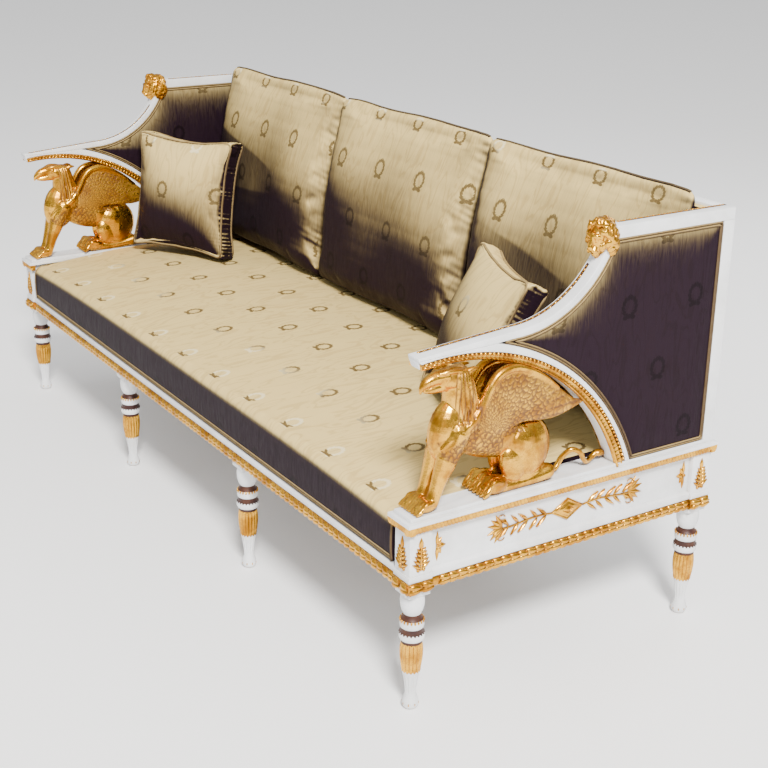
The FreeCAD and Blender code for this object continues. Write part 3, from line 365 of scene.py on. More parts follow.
def ball(centre, radii, turn=None, rings=8, around=12):
    tilt = np.linspace(0, math.pi, rings + 1)[1:-1]
    angles = np.linspace(0, 2 * math.pi, around, endpoint=False)
    rows = [np.stack([np.sin(t) * np.cos(angles), np.sin(t) * np.sin(angles), np.full(around, np.cos(t))], 1)
            for t in tilt]
    points = np.concatenate(rows + [np.array([[0, 0, 1.0], [0, 0, -1.0]])]) * np.asarray(radii, float)
    if turn is not None:
        points = points @ np.asarray(turn, float).T
    faces = gridFaces(rings - 1, around, False, True)
    top, low, last = (rings - 1) * around, (rings - 1) * around + 1, (rings - 2) * around
    faces += [(top, i, (i + 1) % around) for i in range(around)]
    faces += [(low, last + (i + 1) % around, last + i) for i in range(around)]
    return points + np.asarray(centre, float), faces


def lathe(profile, centre, around=40, wave=None):  # profile of (radius, height), wave(angle, height) scales it
    angles = np.linspace(0, 2 * math.pi, around, endpoint=False)
    rows = []
    for radius, height in profile:
        reach = radius * (np.ones(around) if wave is None else wave(angles, height))
        rows.append(np.stack([reach * np.cos(angles), reach * np.sin(angles), np.full(around, height)], 1))
    return np.concatenate(rows) + np.asarray(centre, float), capped(len(profile), around)


def leaf(base, along, out, length, width, thick, lift=0.0, ribs=5):  # a pointed, crowned leaf on a surface
    along, out = np.asarray(along, float), np.asarray(out, float)
    across = np.cross(out, along)
    t = np.linspace(0, 1, 7)
    w = np.linspace(-1, 1, ribs)
    half = 0.5 * width * np.sin(math.pi * np.clip(t, 0.02, 0.985) ** 0.8)
    rise = thick * (0.25 + 0.75 * np.sin(math.pi * t ** 0.7)) + lift * t
    top, low = [], []
    for i in range(len(t)):
        for x in w:
            spot = np.asarray(base, float) + along * t[i] * length + across * x * half[i]
            top.append(spot + out * (rise[i] * (1 - 0.75 * x * x)))
            low.append(spot - out * 0.0015)
    return top + low, slabFaces(len(t), ribs)


def addPiece(name, mesh, material, body="frame", stands=()):
    piece = bpy.data.objects.new(name, mesh)
    bpy.context.scene.collection.objects.link(piece)
    mesh.materials.clear()
    mesh.materials.append(material)
    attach(piece, body)
    if stands:
        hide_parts(*stands)
    return piece


def readPoints(mesh):
    spots, normals = np.empty(len(mesh.vertices) * 3), np.empty(len(mesh.vertices) * 3)
    mesh.vertices.foreach_get("co", spots)
    mesh.vertices.foreach_get("normal", normals)
    return spots.reshape(-1, 3), normals.reshape(-1, 3)


def writePoints(mesh, spots):
    mesh.vertices.foreach_set("co", np.asarray(spots, float).ravel())
    mesh.update()
    mesh.polygons.foreach_set("use_smooth", [True] * len(mesh.polygons))


def cornersOf(mesh):  # the point that each face corner stands on
    corners = np.empty(len(mesh.loops), int)
    mesh.loops.foreach_get("vertex_index", corners)
    return corners


def setCloth(mesh, mapping):  # the cloth's own flat coordinates, from each face's points and normal
    layer = mesh.uv_layers.get("cloth") or mesh.uv_layers.new(name="cloth")
    places, _ = readPoints(mesh)
    totals = np.empty(len(mesh.polygons), int)
    mesh.polygons.foreach_get("loop_total", totals)
    normals = np.empty(len(mesh.polygons) * 3)
    mesh.polygons.foreach_get("normal", normals)
    owner = np.repeat(np.arange(len(totals)), totals)
    layer.data.foreach_set("uv", mapping(places[cornersOf(mesh)], normals.reshape(-1, 3)[owner]).ravel())


def boxCloth(spots, normals):  # cloth laid on by the side each face looks to
    flat = np.abs(normals).argmax(1)
    u = np.where(flat == 0, spots[:, 1], spots[:, 0])
    v = np.where(flat == 2, spots[:, 1], spots[:, 2])
    return np.stack([u, v], 1)


def addTrim(name, shape, material, body="frame"):  # piping, with cloth laid on by side
    mesh = shape.mesh(name)
    setCloth(mesh, boxCloth)
    return addPiece(name, mesh, material, body=body)


def addGilt(name, shape, sharp=None, stands=()):
    return addPiece(name, shape.mesh(name, sharp), gilding, stands=stands)


def arcThrough(a, b, c, count):  # points on the circle through three points
    ax, ay, bx, by, cx, cy = *a, *b, *c
    d = 2 * (ax * (by - cy) + bx * (cy - ay) + cx * (ay - by))
    aa, bb, cc = ax * ax + ay * ay, bx * bx + by * by, cx * cx + cy * cy
    ux = (aa * (by - cy) + bb * (cy - ay) + cc * (ay - by)) / d
    uy = (aa * (cx - bx) + bb * (ax - cx) + cc * (bx - ax)) / d
    start, through, end = (math.atan2(p[1] - uy, p[0] - ux) for p in (a, b, c))
    sweep, part = (end - start) % (2 * math.pi), (through - start) % (2 * math.pi)
    if part > sweep:
        sweep -= 2 * math.pi
    reach = math.hypot(ax - ux, ay - uy)
    return [(ux + reach * math.cos(start + sweep * t), uy + reach * math.sin(start + sweep * t))
            for t in np.linspace(0, 1, count)]


def evenly(path, step, closed=False):  # the same line with points a step apart
    path = np.asarray(path, float)
    if closed:
        path = np.vstack([path, path[:1]])
    run = np.concatenate([[0], np.cumsum(np.linalg.norm(np.diff(path, axis=0), axis=1))])
    count = max(2, int(round(run[-1] / step)) + 1)
    at = np.linspace(0, run[-1], count)
    made = np.stack([np.interp(at, run, path[:, i]) for i in range(path.shape[1])], 1)
    return made[:-1] if closed else made


# camera, floor and light

cameraLook = {"place": (3.063, -1.740, 1.614), "azimuth": 57.14, "elevation": 20.66, "roll": 0.78,
              "lens": 65.80}


def makeCamera(look):
    a, e, r = (math.radians(look[k]) for k in ("azimuth", "elevation", "roll"))
    back = Vector((math.sin(a) * math.cos(e), -math.cos(a) * math.cos(e), math.sin(e)))
    right = Vector((math.cos(a), math.sin(a), 0))
    up = back.cross(right)
    x = math.cos(r) * right + math.sin(r) * up
    y = -math.sin(r) * right + math.cos(r) * up
    data = bpy.data.cameras.new("camera")
    data.lens, data.sensor_width = look["lens"], 36.0
    camera = bpy.data.objects.new("camera", data)
    bpy.context.scene.collection.objects.link(camera)
    camera.matrix_world = Matrix.Translation(look["place"]) @ Matrix((x, y, back)).transposed().to_4x4()
    bpy.context.scene.camera = camera


studio = {"sky": (1.0, 1.0, 1.0, 1), "horizon": (0.30, 0.32, 0.36, 1), "worldStrength": 0.87,
          "floor": (0.97, 0.97, 0.97, 1), "floorHalf": 30.0, "floorGlow": 0.12,
          "lamps": [("key", (6.4, -2.6, 6.8), 2.0, 1950, (1.0, 0.975, 0.94)),
                    ("fill", (-2.6, -3.4, 2.6), 2.4, 16, (0.95, 0.97, 1.0)),
                    ("behind", (-0.6, 3.2, 3.0), 2.4, 46, (1.0, 1.0, 1.0))]}


def makeStudio(look):
    world = bpy.data.worlds.new("studio")
    world.use_nodes = True
    tree, shade = world.node_tree, world.node_tree.nodes["Background"]
    way = place(tree, "ShaderNodeTexCoord").outputs["Generated"]
    height = place(tree, "ShaderNodeSeparateXYZ", {0: way}).outputs[2]
    tree.links.new(mixColour(tree, fade(tree, height, 0.0, 0.75), look["horizon"], look["sky"]),
                   shade.inputs[0])
    shade.inputs[1].default_value = look["worldStrength"]
    bpy.context.scene.world = world
    for name, spot, size, power, tint in look["lamps"]:
        data = bpy.data.lights.new(name, "AREA")
        data.shape, data.size, data.energy, data.color = "DISK", size, power, tint
        lamp = bpy.data.objects.new(name, data)
        lamp.location = spot
        lamp.rotation_euler = (Vector((0, 0, 0.45)) - Vector(spot)).to_track_quat("-Z", "Y").to_euler()
        bpy.context.scene.collection.objects.link(lamp)
    h = look["floorHalf"]
    floorMesh = Shape().add([(-h, -h, 0), (h, -h, 0), (h, h, 0), (-h, h, 0)], [(0, 1, 2, 3)]).mesh("floor")
    floor = bpy.data.objects.new("floor", floorMesh)
    bpy.context.scene.collection.objects.link(floor)
    material, tree, shader = newMaterial("floorPaper")
    grain = place(tree, "ShaderNodeTexNoise", {"Scale": 30.0, "Detail": 3.0}).outputs[0]
    tree.links.new(mixColour(tree, calc(tree, "MULTIPLY", grain, 0.1), look["floor"], (0.86, 0.86, 0.87, 1)),
                   shader.inputs["Base Color"])
    shader.inputs["Roughness"].default_value = 0.9
    shader.inputs["Emission Color"].default_value = (1, 1, 1, 1)
    shader.inputs["Emission Strength"].default_value = look["floorGlow"]
    floorMesh.materials.append(material)


makeCamera(cameraLook)
makeStudio(studio)
print("camera and studio made")


# white painted members, from their solids with eased edges; bare timbers and screws keep their solids and only
# get a finish

easedEdge = {"width": 0.0011, "steps": 2, "above": 28.0}


def easedMesh(node, ease):
    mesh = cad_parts[node].data.copy()
    form = bmesh.new()
    form.from_mesh(mesh)
    bmesh.ops.remove_doubles(form, verts=form.verts, dist=2e-5)
    bmesh.ops.dissolve_limit(form, angle_limit=math.radians(0.4), verts=form.verts, edges=form.edges)
    above = math.radians(ease["above"])
    corners = [e for e in form.edges if len(e.link_faces) == 2 and e.calc_face_angle(0) > above]
    bmesh.ops.bevel(form, geom=corners, offset=ease["width"], segments=ease["steps"], profile=0.6,
                    affect="EDGES", clamp_overlap=True)
    form.to_mesh(mesh)
    form.free()
    mesh.polygons.foreach_set("use_smooth", [True] * len(mesh.polygons))
    mesh.set_sharp_from_angle(angle=math.radians(40))
    return mesh


whiteNodes = [f"{end}_{side}_corner_block" for end in ("front", "rear") for side in ("right", "left")]
whiteNodes += ["front_seat_rail", "rear_seat_rail", "right_seat_rail", "left_seat_rail", "back_crest_rail",
               "back_lower_rail"]
whiteNodes += [f"{name}_{side}" for name in ("plinth", "arm_sweep", "arm_arch", "arm_top_rail", "rear_post")
               for side, _ in sides]
for node in whiteNodes:
    addPiece(node + "_painted", easedMesh(node, easedEdge), whitePaint, stands=(node,))
for node, finish in (("seat_cross_rails", bareWood), ("corner_braces", bareWood), ("fixing_dowels", bareWood),
                     ("brace_screws", steel)):
    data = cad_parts[node].data
    data.materials.clear()
    data.materials.append(finish)
print("painted members made")


# turned legs: white turning, gilt reeded barrel, red grooves

legTurning = {"reeds": 16, "flutes": 12, "plate": 0.025, "around": 64, "giltAround": 96, "redAround": 48,
              "ringStep": 1.6, "core": 12.0, "flute": (0.14, 0.032, 0.006, 0.084, 0.010),
              "reed": (0.10, 0.0925, 0.1515), "scallop": (0.0042, 0.0935, 0.003),
              "white": [(0.002, 0.0), (9, 0.0), (12.5, 0.8), (15.8, 5), (17.4, 11), (17, 17), (15, 23),
                        (12.8, 29), (11.8, 35), (11.7, 40), (12.2, 48), (13.4, 58), (15, 68), (16.8, 78),
                        (18.4, 86), (19.2, 91), (17, 93), (14, 96), (14, 152), (20, 158.8), (24.2, 160.2),
                        (26.2, 164), (26.6, 168), (25.9, 172.4), (24.4, 175.4), (20, 176.4), (20, 186.8),
                        (22.4, 187), (24.2, 188.6), (24.9, 193), (24.6, 199), (23.6, 203.4), (22, 205.6),
                        (16, 206.4), (16, 216.6), (17.4, 217.2), (19, 220.4), (22, 227), (24.2, 236),
                        (24.9, 246), (24.2, 254.5), (22.6, 262.3), (0.002, 262.4)],
              "gilt": [(13, 90.4), (19.6, 90.6), (20.1, 93.4), (20.6, 97), (22.3, 108), (23.7, 121),
                       (24, 131), (23.4, 142), (22.1, 149.5), (21.4, 152.4), (13, 152.8)],
              "grooves": [[(21.6, 152.6), (21.2, 155.6), (21.8, 159)],
                          [(24.2, 175.9), (23.2, 181), (23.0, 187.2)],
                          [(23.0, 205.4), (20.4, 209), (18.2, 213.2), (17.3, 217.4)]],
              "plateRows": [(-2.2, 262.2), (-0.6, 263.0), (0, 264.6), (0, 272.2), (-0.8, 273.8)],
              "giltTeeth": (20, 23.7, 203.2, 2.3, 3.8, 6, 8), "redTeeth": (20, 24.3, 175.0, 2.3, 2.4, 6, 8),
              "footDrops": (8, 16.6, 12.5, 1.6, 3.4, 5, 7)}


def makeLeg(name, look):
    low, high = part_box(name)
    centre = ((low[0] + high[0]) / 2, (low[1] + high[1]) / 2, 0.0)
    scale = 0.001

    def fluted(angles, height):
        deep, foot, rise, head, fall = look["flute"]
        deep *= max(0.0, min(1.0, (height - foot) / rise, (head - height) / fall))
        return 1 - deep * np.abs(np.cos(angles * look["flutes"] / 2)) ** 3

    def reeded(angles, height):
        deep, foot, head = look["reed"]
        deep = deep if foot < height < head else 0.0
        return 1 - deep * (1 - np.abs(np.sin(angles * look["reeds"] / 2)) ** 0.7)

    def fine(profile):  # closer rings, so that the turning stays smooth
        return [(r * scale, z * scale) for r, z in evenly(profile, look["ringStep"])]

    white = Shape().add(*lathe(fine(look["white"]), centre, look["around"], fluted))
    rows = [(look["plate"] + r * scale, z * scale) for r, z in look["plateRows"]]
    ring = [(-1, -1), (1, -1), (1, 1), (-1, 1)]
    points = [(centre[0] + x * r, centre[1] + y * r, z) for r, z in rows for x, y in ring]
    white.add(points, capped(len(rows), 4))
    addPiece(name + "_turned", white.mesh(name + "_turned", 38), whitePaint, stands=(name,))
    points, faces = lathe(fine(look["gilt"]), centre, look["giltAround"], reeded)
    turns = np.arctan2(points[:, 1] - centre[1], points[:, 0] - centre[0])
    drop, under, fades = look["scallop"]
    drop = drop * np.abs(np.sin(turns * look["reeds"] / 2))
    points[:, 2] -= drop * np.clip((under - points[:, 2]) / fades, 0, 1)
    gilt = Shape().add(points, faces)

    def teeth(shape, count, reach, height, wide, long, rings, around):  # pointed drops round a ring
        for i in range(count):
            a = 2 * math.pi * i / count
            spot = (centre[0] + reach * scale * math.cos(a), centre[1] + reach * scale * math.sin(a),
                    height * scale)
            shape.add(*ball(spot, (wide * scale, wide * scale, long * scale), rings=rings, around=around))

    teeth(gilt, *look["giltTeeth"])
    teeth(gilt, *look["footDrops"])
    addGilt(name + "_gilt", gilt, 50)
    red = Shape()
    for band in look["grooves"]:
        band = [(look["core"], band[0][1])] + band + [(look["core"], band[-1][1])]
        red.add(*lathe([(r * scale, z * scale) for r, z in band], centre, look["redAround"]))
    teeth(red, *look["redTeeth"])
    addPiece(name + "_grooves", red.mesh(name + "_grooves", 50), bole)


for node in sorted(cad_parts):
    if node.startswith("leg_"):
        makeLeg(node, legTurning)
print("legs made")


# fixed seat, drawn over the front rail

seatForm = {"half": 1.012, "front": -0.389, "base": 0.317, "floor": 0.411, "wall": -0.373, "back": 0.362,
            "crown": 0.452, "drop": 0.012, "rowStart": -0.342, "columnShift": 0.102,
            "fill": 0.85, "ripple": 0.00035, "step": 0.012, "noseRipple": 0.0012, "noseReach": 0.012,
            "railPiping": [(-0.3885, 0.3195, 0.0027), (-0.3893, 0.3252, 0.0027)], "sidePiping": 0.0028}


def seatLine(look, x):
    part = min(1.0, abs(x) / look["half"])
    drop = look["drop"] * part ** 4
    front, back, base = look["front"], look["back"], look["base"]
    crown = look["crown"] - drop
    edge = crown - 0.023 - drop / 3
    mid = (base + edge) / 2
    knee, lip, rear = (front - 0.0005, edge - 0.017), (front + 0.028, edge + 0.0015), (back - 0.025,
                                                                                       crown - 0.004)
    top = arcThrough((front, base), (front - 0.0025, mid - 0.008), knee, 14)
    top += arcThrough(knee, (front + 0.007, edge - 0.0045), lip, 12)[1:]
    top += arcThrough(lip, (-0.01, crown), rear, 54)[1:]
    top += arcThrough(rear, (back - 0.005, crown - 0.007), (back, crown - 0.016), 6)[1:]
    return top, [(back, look["floor"]), (look["wall"], look["floor"]), (look["wall"], base)]


def makeSeat(look):
    stations = np.linspace(-look["half"], look["half"], int(2 * look["half"] / look["step"]) + 1)
    rows, flats = [], []
    for x in stations:
        top, under = seatLine(look, x)
        top = np.array(top)
        run = np.concatenate([[0], np.cumsum(np.linalg.norm(np.diff(top, axis=0), axis=1))])
        start = np.interp(look["rowStart"], top[14:, 0], run[14:])
        y = top[:, 0]
        wave = np.sin(x * 23 + y * 9) + np.sin(x * 41 - y * 17 + 2) + 0.6 * np.sin(x * 90 + y * 5)
        inside = np.clip((y - look["front"] - 0.02) / 0.08, 0, 1) * np.clip((look["back"] - y) / 0.05, 0, 1)
        nose = np.exp(-((run - run[20]) / look["noseReach"]) ** 2)
        top[:, 1] += look["ripple"] * wave * inside
        top[:, 1] += look["noseRipple"] * nose * np.sin(x * 130 + 2 * np.sin(x * 31))
        rows.append([(x, y, z) for y, z in top] + [(x, y, z) for y, z in under])
        flat = run - start + motifAlong * 10.5
        flats.append([(x + look["columnShift"], v) for v in flat] + [(x, 0.02 * i) for i in range(len(under))])
    shape = Shape().add(np.array(rows).reshape(-1, 3), capped(len(rows), len(rows[0])))
    mesh = shape.mesh("seat_upholstery", 50)
    layer = mesh.uv_layers.new(name="cloth")
    layer.data.foreach_set("uv", np.array(flats).reshape(-1, 2)[cornersOf(mesh)].ravel())
    seat = addPiece("seat_upholstery", mesh, oliveSilk, stands=("seat_cover", "seat_stuffing"))
    piping = Shape()
    line = np.linspace(-look["half"] + 0.004, look["half"] - 0.004, 260)
    for y, z, reach in look["railPiping"]:  # double piping along the rail
        piping.add(*tube([(x, y, z) for x in line], reach, 8))
    for x in (-look["half"] + 0.003, look["half"] - 0.003):  # upright piping beside the corner blocks
        top = np.array(seatLine(look, x)[0])[:26]
        piping.add(*tube([(x, y - 0.0006, z) for y, z in evenly(top, 0.006)], look["sidePiping"], 8))
    addTrim("seat_piping", piping, pipingSilk)


makeSeat(seatForm)
print("seat made")


# seat webbing: straps woven over and under

webStraps = {"width": 0.056, "thick": 0.0016, "lift": 0.0014, "across": 19, "along": 6}


def makeWebbing(look):
    low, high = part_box("seat_webbing")
    middle = (low[2] + high[2]) / 2
    shape = Shape()
    xs = np.linspace(low[0] + 0.045, high[0] - 0.045, look["across"])
    ys = np.linspace(low[1] + 0.045, high[1] - 0.045, look["along"])

    def strap(points, wide):
        rows = []
        for p in points:
            for s, t in ((-1, -1), (1, -1), (1, 1), (-1, 1)):
                rows.append(np.asarray(p) + np.asarray(wide) * (s * look["width"] / 2)
                            + np.array((0, 0, t * look["thick"] / 2)))
        shape.add(rows, capped(len(points), 4))

    for i, x in enumerate(xs):
        line = np.linspace(low[1], high[1], 90)
        beat = sum((-1) ** (i + j) * np.exp(-((line - y) / 0.040) ** 2) for j, y in enumerate(ys))
        strap([(x, y, middle + look["lift"] * b) for y, b in zip(line, beat)], (1, 0, 0))
    for j, y in enumerate(ys):
        line = np.linspace(low[0], high[0], 240)
        beat = sum((-1) ** (i + j + 1) * np.exp(-((line - x) / 0.036) ** 2) for i, x in enumerate(xs))
        strap([(x, y, middle + look["lift"] * b) for x, b in zip(line, beat)], (0, 1, 0))
    mesh = shape.mesh("seat_webbing_straps", 40)
    setCloth(mesh, boxCloth)
    addPiece("seat_webbing_straps", mesh, jute, stands=("seat_webbing",))


makeWebbing(webStraps)
print("webbing made")


# loose cushions and pillows: their solids, blown up as cloth

def stuffed(node, look):
    source = bpy.data.objects.new(node + "_cloth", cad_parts[node].data.copy())
    bpy.context.scene.collection.objects.link(source)
    low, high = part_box(node)
    middle = (low + high) / 2
    smaller = Matrix.Scale(look["start"], 4)
    source.data.transform(Matrix.Translation(middle) @ smaller @ Matrix.Translation(-middle))
    remesh = source.modifiers.new("even", "REMESH")
    remesh.mode, remesh.voxel_size = "VOXEL", look["voxel"]
    deps = bpy.context.evaluated_depsgraph_get()
    mesh = bpy.data.meshes.new_from_object(source.evaluated_get(deps))
    source.modifiers.clear()
    source.data = mesh
    rest, _ = readPoints(mesh)
    cloth = source.modifiers.new("cloth", "CLOTH")
    settings = cloth.settings
    settings.use_pressure, settings.uniform_pressure_force = True, look["pressure"]
    settings.effector_weights.gravity = 0.0
    settings.quality, settings.mass = 5, 0.3
    settings.tension_stiffness = settings.compression_stiffness = look["stiff"]
    settings.bending_stiffness = look["bend"]
    for step in range(1, look["frames"] + 1):
        bpy.context.scene.frame_set(step)
    deps = bpy.context.evaluated_depsgraph_get()
    moved, _ = readPoints(source.evaluated_get(deps).to_mesh())
    source.evaluated_get(deps).to_mesh_clear()
    source.modifiers.clear()
    bpy.context.scene.frame_set(1)
    shift = moved - rest
    length = np.linalg.norm(shift, axis=1)[:, None]
    rest = rest + shift * np.minimum(1.0, look["cap"] / np.maximum(length, 1e-9))
    lowest, highest = rest.min(0), rest.max(0)  # filled out to the solid's own size
    rest = np.array(low) + (rest - lowest) * (np.array(high) - np.array(low)) / (highest - lowest)
    mesh.vertices.foreach_set("co", rest.ravel())
    soften = source.modifiers.new("soften", "SMOOTH")
    soften.iterations, soften.factor = look["soften"], 0.5
    smooth = source.modifiers.new("fine", "SUBSURF")
    smooth.levels = smooth.render_levels = 1
    deps = bpy.context.evaluated_depsgraph_get()
    final = bpy.data.meshes.new_from_object(source.evaluated_get(deps))
    final.name = node + "_stuffed"
    bpy.data.objects.remove(source)
    return final, low, high


def treeOf(mesh):
    spots, _ = readPoints(mesh)
    return BVHTree.FromPolygons([tuple(p) for p in spots], [tuple(f.vertices) for f in mesh.polygons])


def ontoSurface(tree, path, stand):  # the path's points moved to the surface, standing out a little
    made = []
    for p in path:
        near, normal, _, _ = tree.find_nearest(Vector(p))
        made.append(tuple(near + normal * stand))
    made = np.array(made)
    made[1:-1] = (made[:-2] + 2 * made[1:-1] + made[2:]) / 4
    return made


cushionForm = {"start": 0.985, "voxel": 0.0085, "pressure": 4.0, "frames": 20, "cap": 0.022, "stiff": 12.0,
               "bend": 0.4, "soften": 6, "fill": 0.75, "upperRow": 0.835, "welt": 0.0034,
               "firstMotif": {"left": -0.889, "middle": -0.047, "right": 0.484}, "gather": 0.0006,
               "gatherReach": 0.030, "gatherPitch": 0.022, "room": 0.0008, "foot": 0.196, "upright": 2.0,
               "leaning": 36.0, "bendFrom": 0.60, "bendTo": 0.96, "skew": 0.06, "clear": 0.010,
               "levels": (0.52, 0.95, 22), "drawnOver": (0.46, 1.06, 121), "core": 0.3, "band": 0.012,
               "spine": 0.345, "pillowEase": (0.06, 0.20), "lump": 0.0016, "past": 0.012, "turnsOver": 0.285,
               "topSeam": (0.325, 0.985), "seamInset": 0.012, "seamLift": 0.0008}


def makeCushion(which, look):
    node = "back_cushion_" + which
    mesh, low, high = stuffed(node, look)
    spots, normals = readPoints(mesh)
    middle, width = (low[0] + high[0]) / 2, high[0] - low[0]
    levels = np.linspace(*look["levels"])
    central = np.abs(spots[:, 0] - middle) < look["core"] * width
    stands = np.array([spots[central & (np.abs(spots[:, 2] - z) < look["band"]), 1].min() for z in levels])
    skewed = look["skew"] * (spots[:, 0] - middle) / width
    fine = np.linspace(*look["drawnOver"])
    bend = np.clip((fine - look["bendFrom"]) / (look["bendTo"] - look["bendFrom"]), 0, 1)
    lean = look["upright"] + (look["leaning"] - look["upright"]) * bend ** 2 * (3 - 2 * bend)
    slope = np.tan(np.radians(lean))
    drawn = look["foot"] + np.concatenate([[0], np.cumsum(slope[:-1] * np.diff(fine))])
    at = np.clip(spots[:, 2], levels[0], levels[-1])
    shift = np.interp(at + skewed, fine, drawn) - np.interp(at, levels, stands)
    free = np.ones(len(spots))  # 0 where a pillow leans on the cushion
    if which != "middle":
        pillowLow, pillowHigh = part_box("scatter_pillow_" + which)
        gap = spots[:, 0] - pillowHigh[0] if which == "left" else pillowLow[0] - spots[:, 0]
        free = np.clip((gap + look["pillowEase"][0]) / look["pillowEase"][1], 0, 1)
        free = free ** 2 * (3 - 2 * free)
    front = np.clip((look["spine"] - spots[:, 1]) / (look["spine"] - low[1]), 0, 1)
    spots[:, 1] += front * (free * shift + (1 - free) * (np.maximum(shift, 0) + look["clear"]))
    edge = np.minimum(high[0] - spots[:, 0], spots[:, 0] - low[0])
    facing = np.clip(-normals[:, 1] * 1.2 + np.clip(normals[:, 2], 0, 1), 0, 1)
    pull = np.exp(-np.clip(high[0] - spots[:, 0], 0, 2) / look["gatherReach"])
    pull = (pull + 0.4 * np.exp(-np.clip(spots[:, 0] - low[0], 0, 2) / look["gatherReach"])) * facing
    height = spots[:, 2] + 0.55 * spots[:, 1]
    fold = np.sin(height * 2 * math.pi / look["gatherPitch"] + 2.4 * np.sin(height * 23 + low[0] * 9)
                  - edge * 40)
    fold = fold * (0.55 + 0.45 * np.sin(height * 37 + low[0] * 5)) + 0.3 * np.sin(height * 250 - edge * 25)
    spots = spots + normals * (look["gather"] * pull * fold)[:, None]
    lump = np.sin(spots[:, 0] * 19 + spots[:, 2] * 7) + np.sin(spots[:, 0] * 9 - spots[:, 2] * 21 + 1.3)
    spots = spots + normals * (look["lump"] * lump * np.clip(edge / 0.1, 0, 1))[:, None]
    spots = np.clip(spots, np.array(low) + (look["room"], -look["past"], 0),
                    np.array(high) - (look["room"], 0, 0))
    writePoints(mesh, spots)
    shift = motifAcross / 2 - look["firstMotif"][which]

    def mapping(corners, faces):
        over = np.clip(corners[:, 1] - look["turnsOver"], 0, None) * 0.85
        run = corners[:, 2] + over - look["upperRow"] + motifAlong * 10.5
        endOn = np.abs(faces[:, 0]) > 0.75
        return np.stack([np.where(endOn, corners[:, 1], corners[:, 0]) + shift, run], 1)

    setCloth(mesh, mapping)
    cushion = addPiece(node + "_stuffed", mesh, oliveSilk, body=node, stands=(node,))
    inset = look["seamInset"]
    line = [(x, *look["topSeam"]) for x in np.linspace(low[0] + inset, high[0] - inset, 70)]
    welts = Shape().add(*tube(ontoSurface(treeOf(mesh), line, look["seamLift"]), look["welt"], 8))
    addTrim(node + "_welts", welts, weltSilk, node)


for which in ("left", "middle", "right"):
    makeCushion(which, cushionForm)
print("back cushions made")

pillowForm = {"start": 0.965, "voxel": 0.0065, "pressure": 4.0, "frames": 20, "cap": 0.015, "stiff": 12.0,
              "bend": 0.4, "soften": 8, "fill": 0.85, "half": 0.176, "border": 0.022, "draw": 0.009,
              "slump": 0.028, "welt": 0.0034, "gather": {"left": 0.0018, "right": 0.0006}, "faceFade": 0.010,
              "rimShare": 0.05, "rimReach": 0.06, "pipeInset": 0.004, "pipeLift": 0.0010,
              "fullness": 0.85, "crowned": 0.85, "wider": {"left": 0.016, "right": 0.0},
              "gatherPitch": 0.0125, "turns": {"left": (27.0, 11.5), "right": (-20.0, 24.0)},
              "motifShift": {"left": (0.125, 0.06), "right": (0.09, 0.02)}}


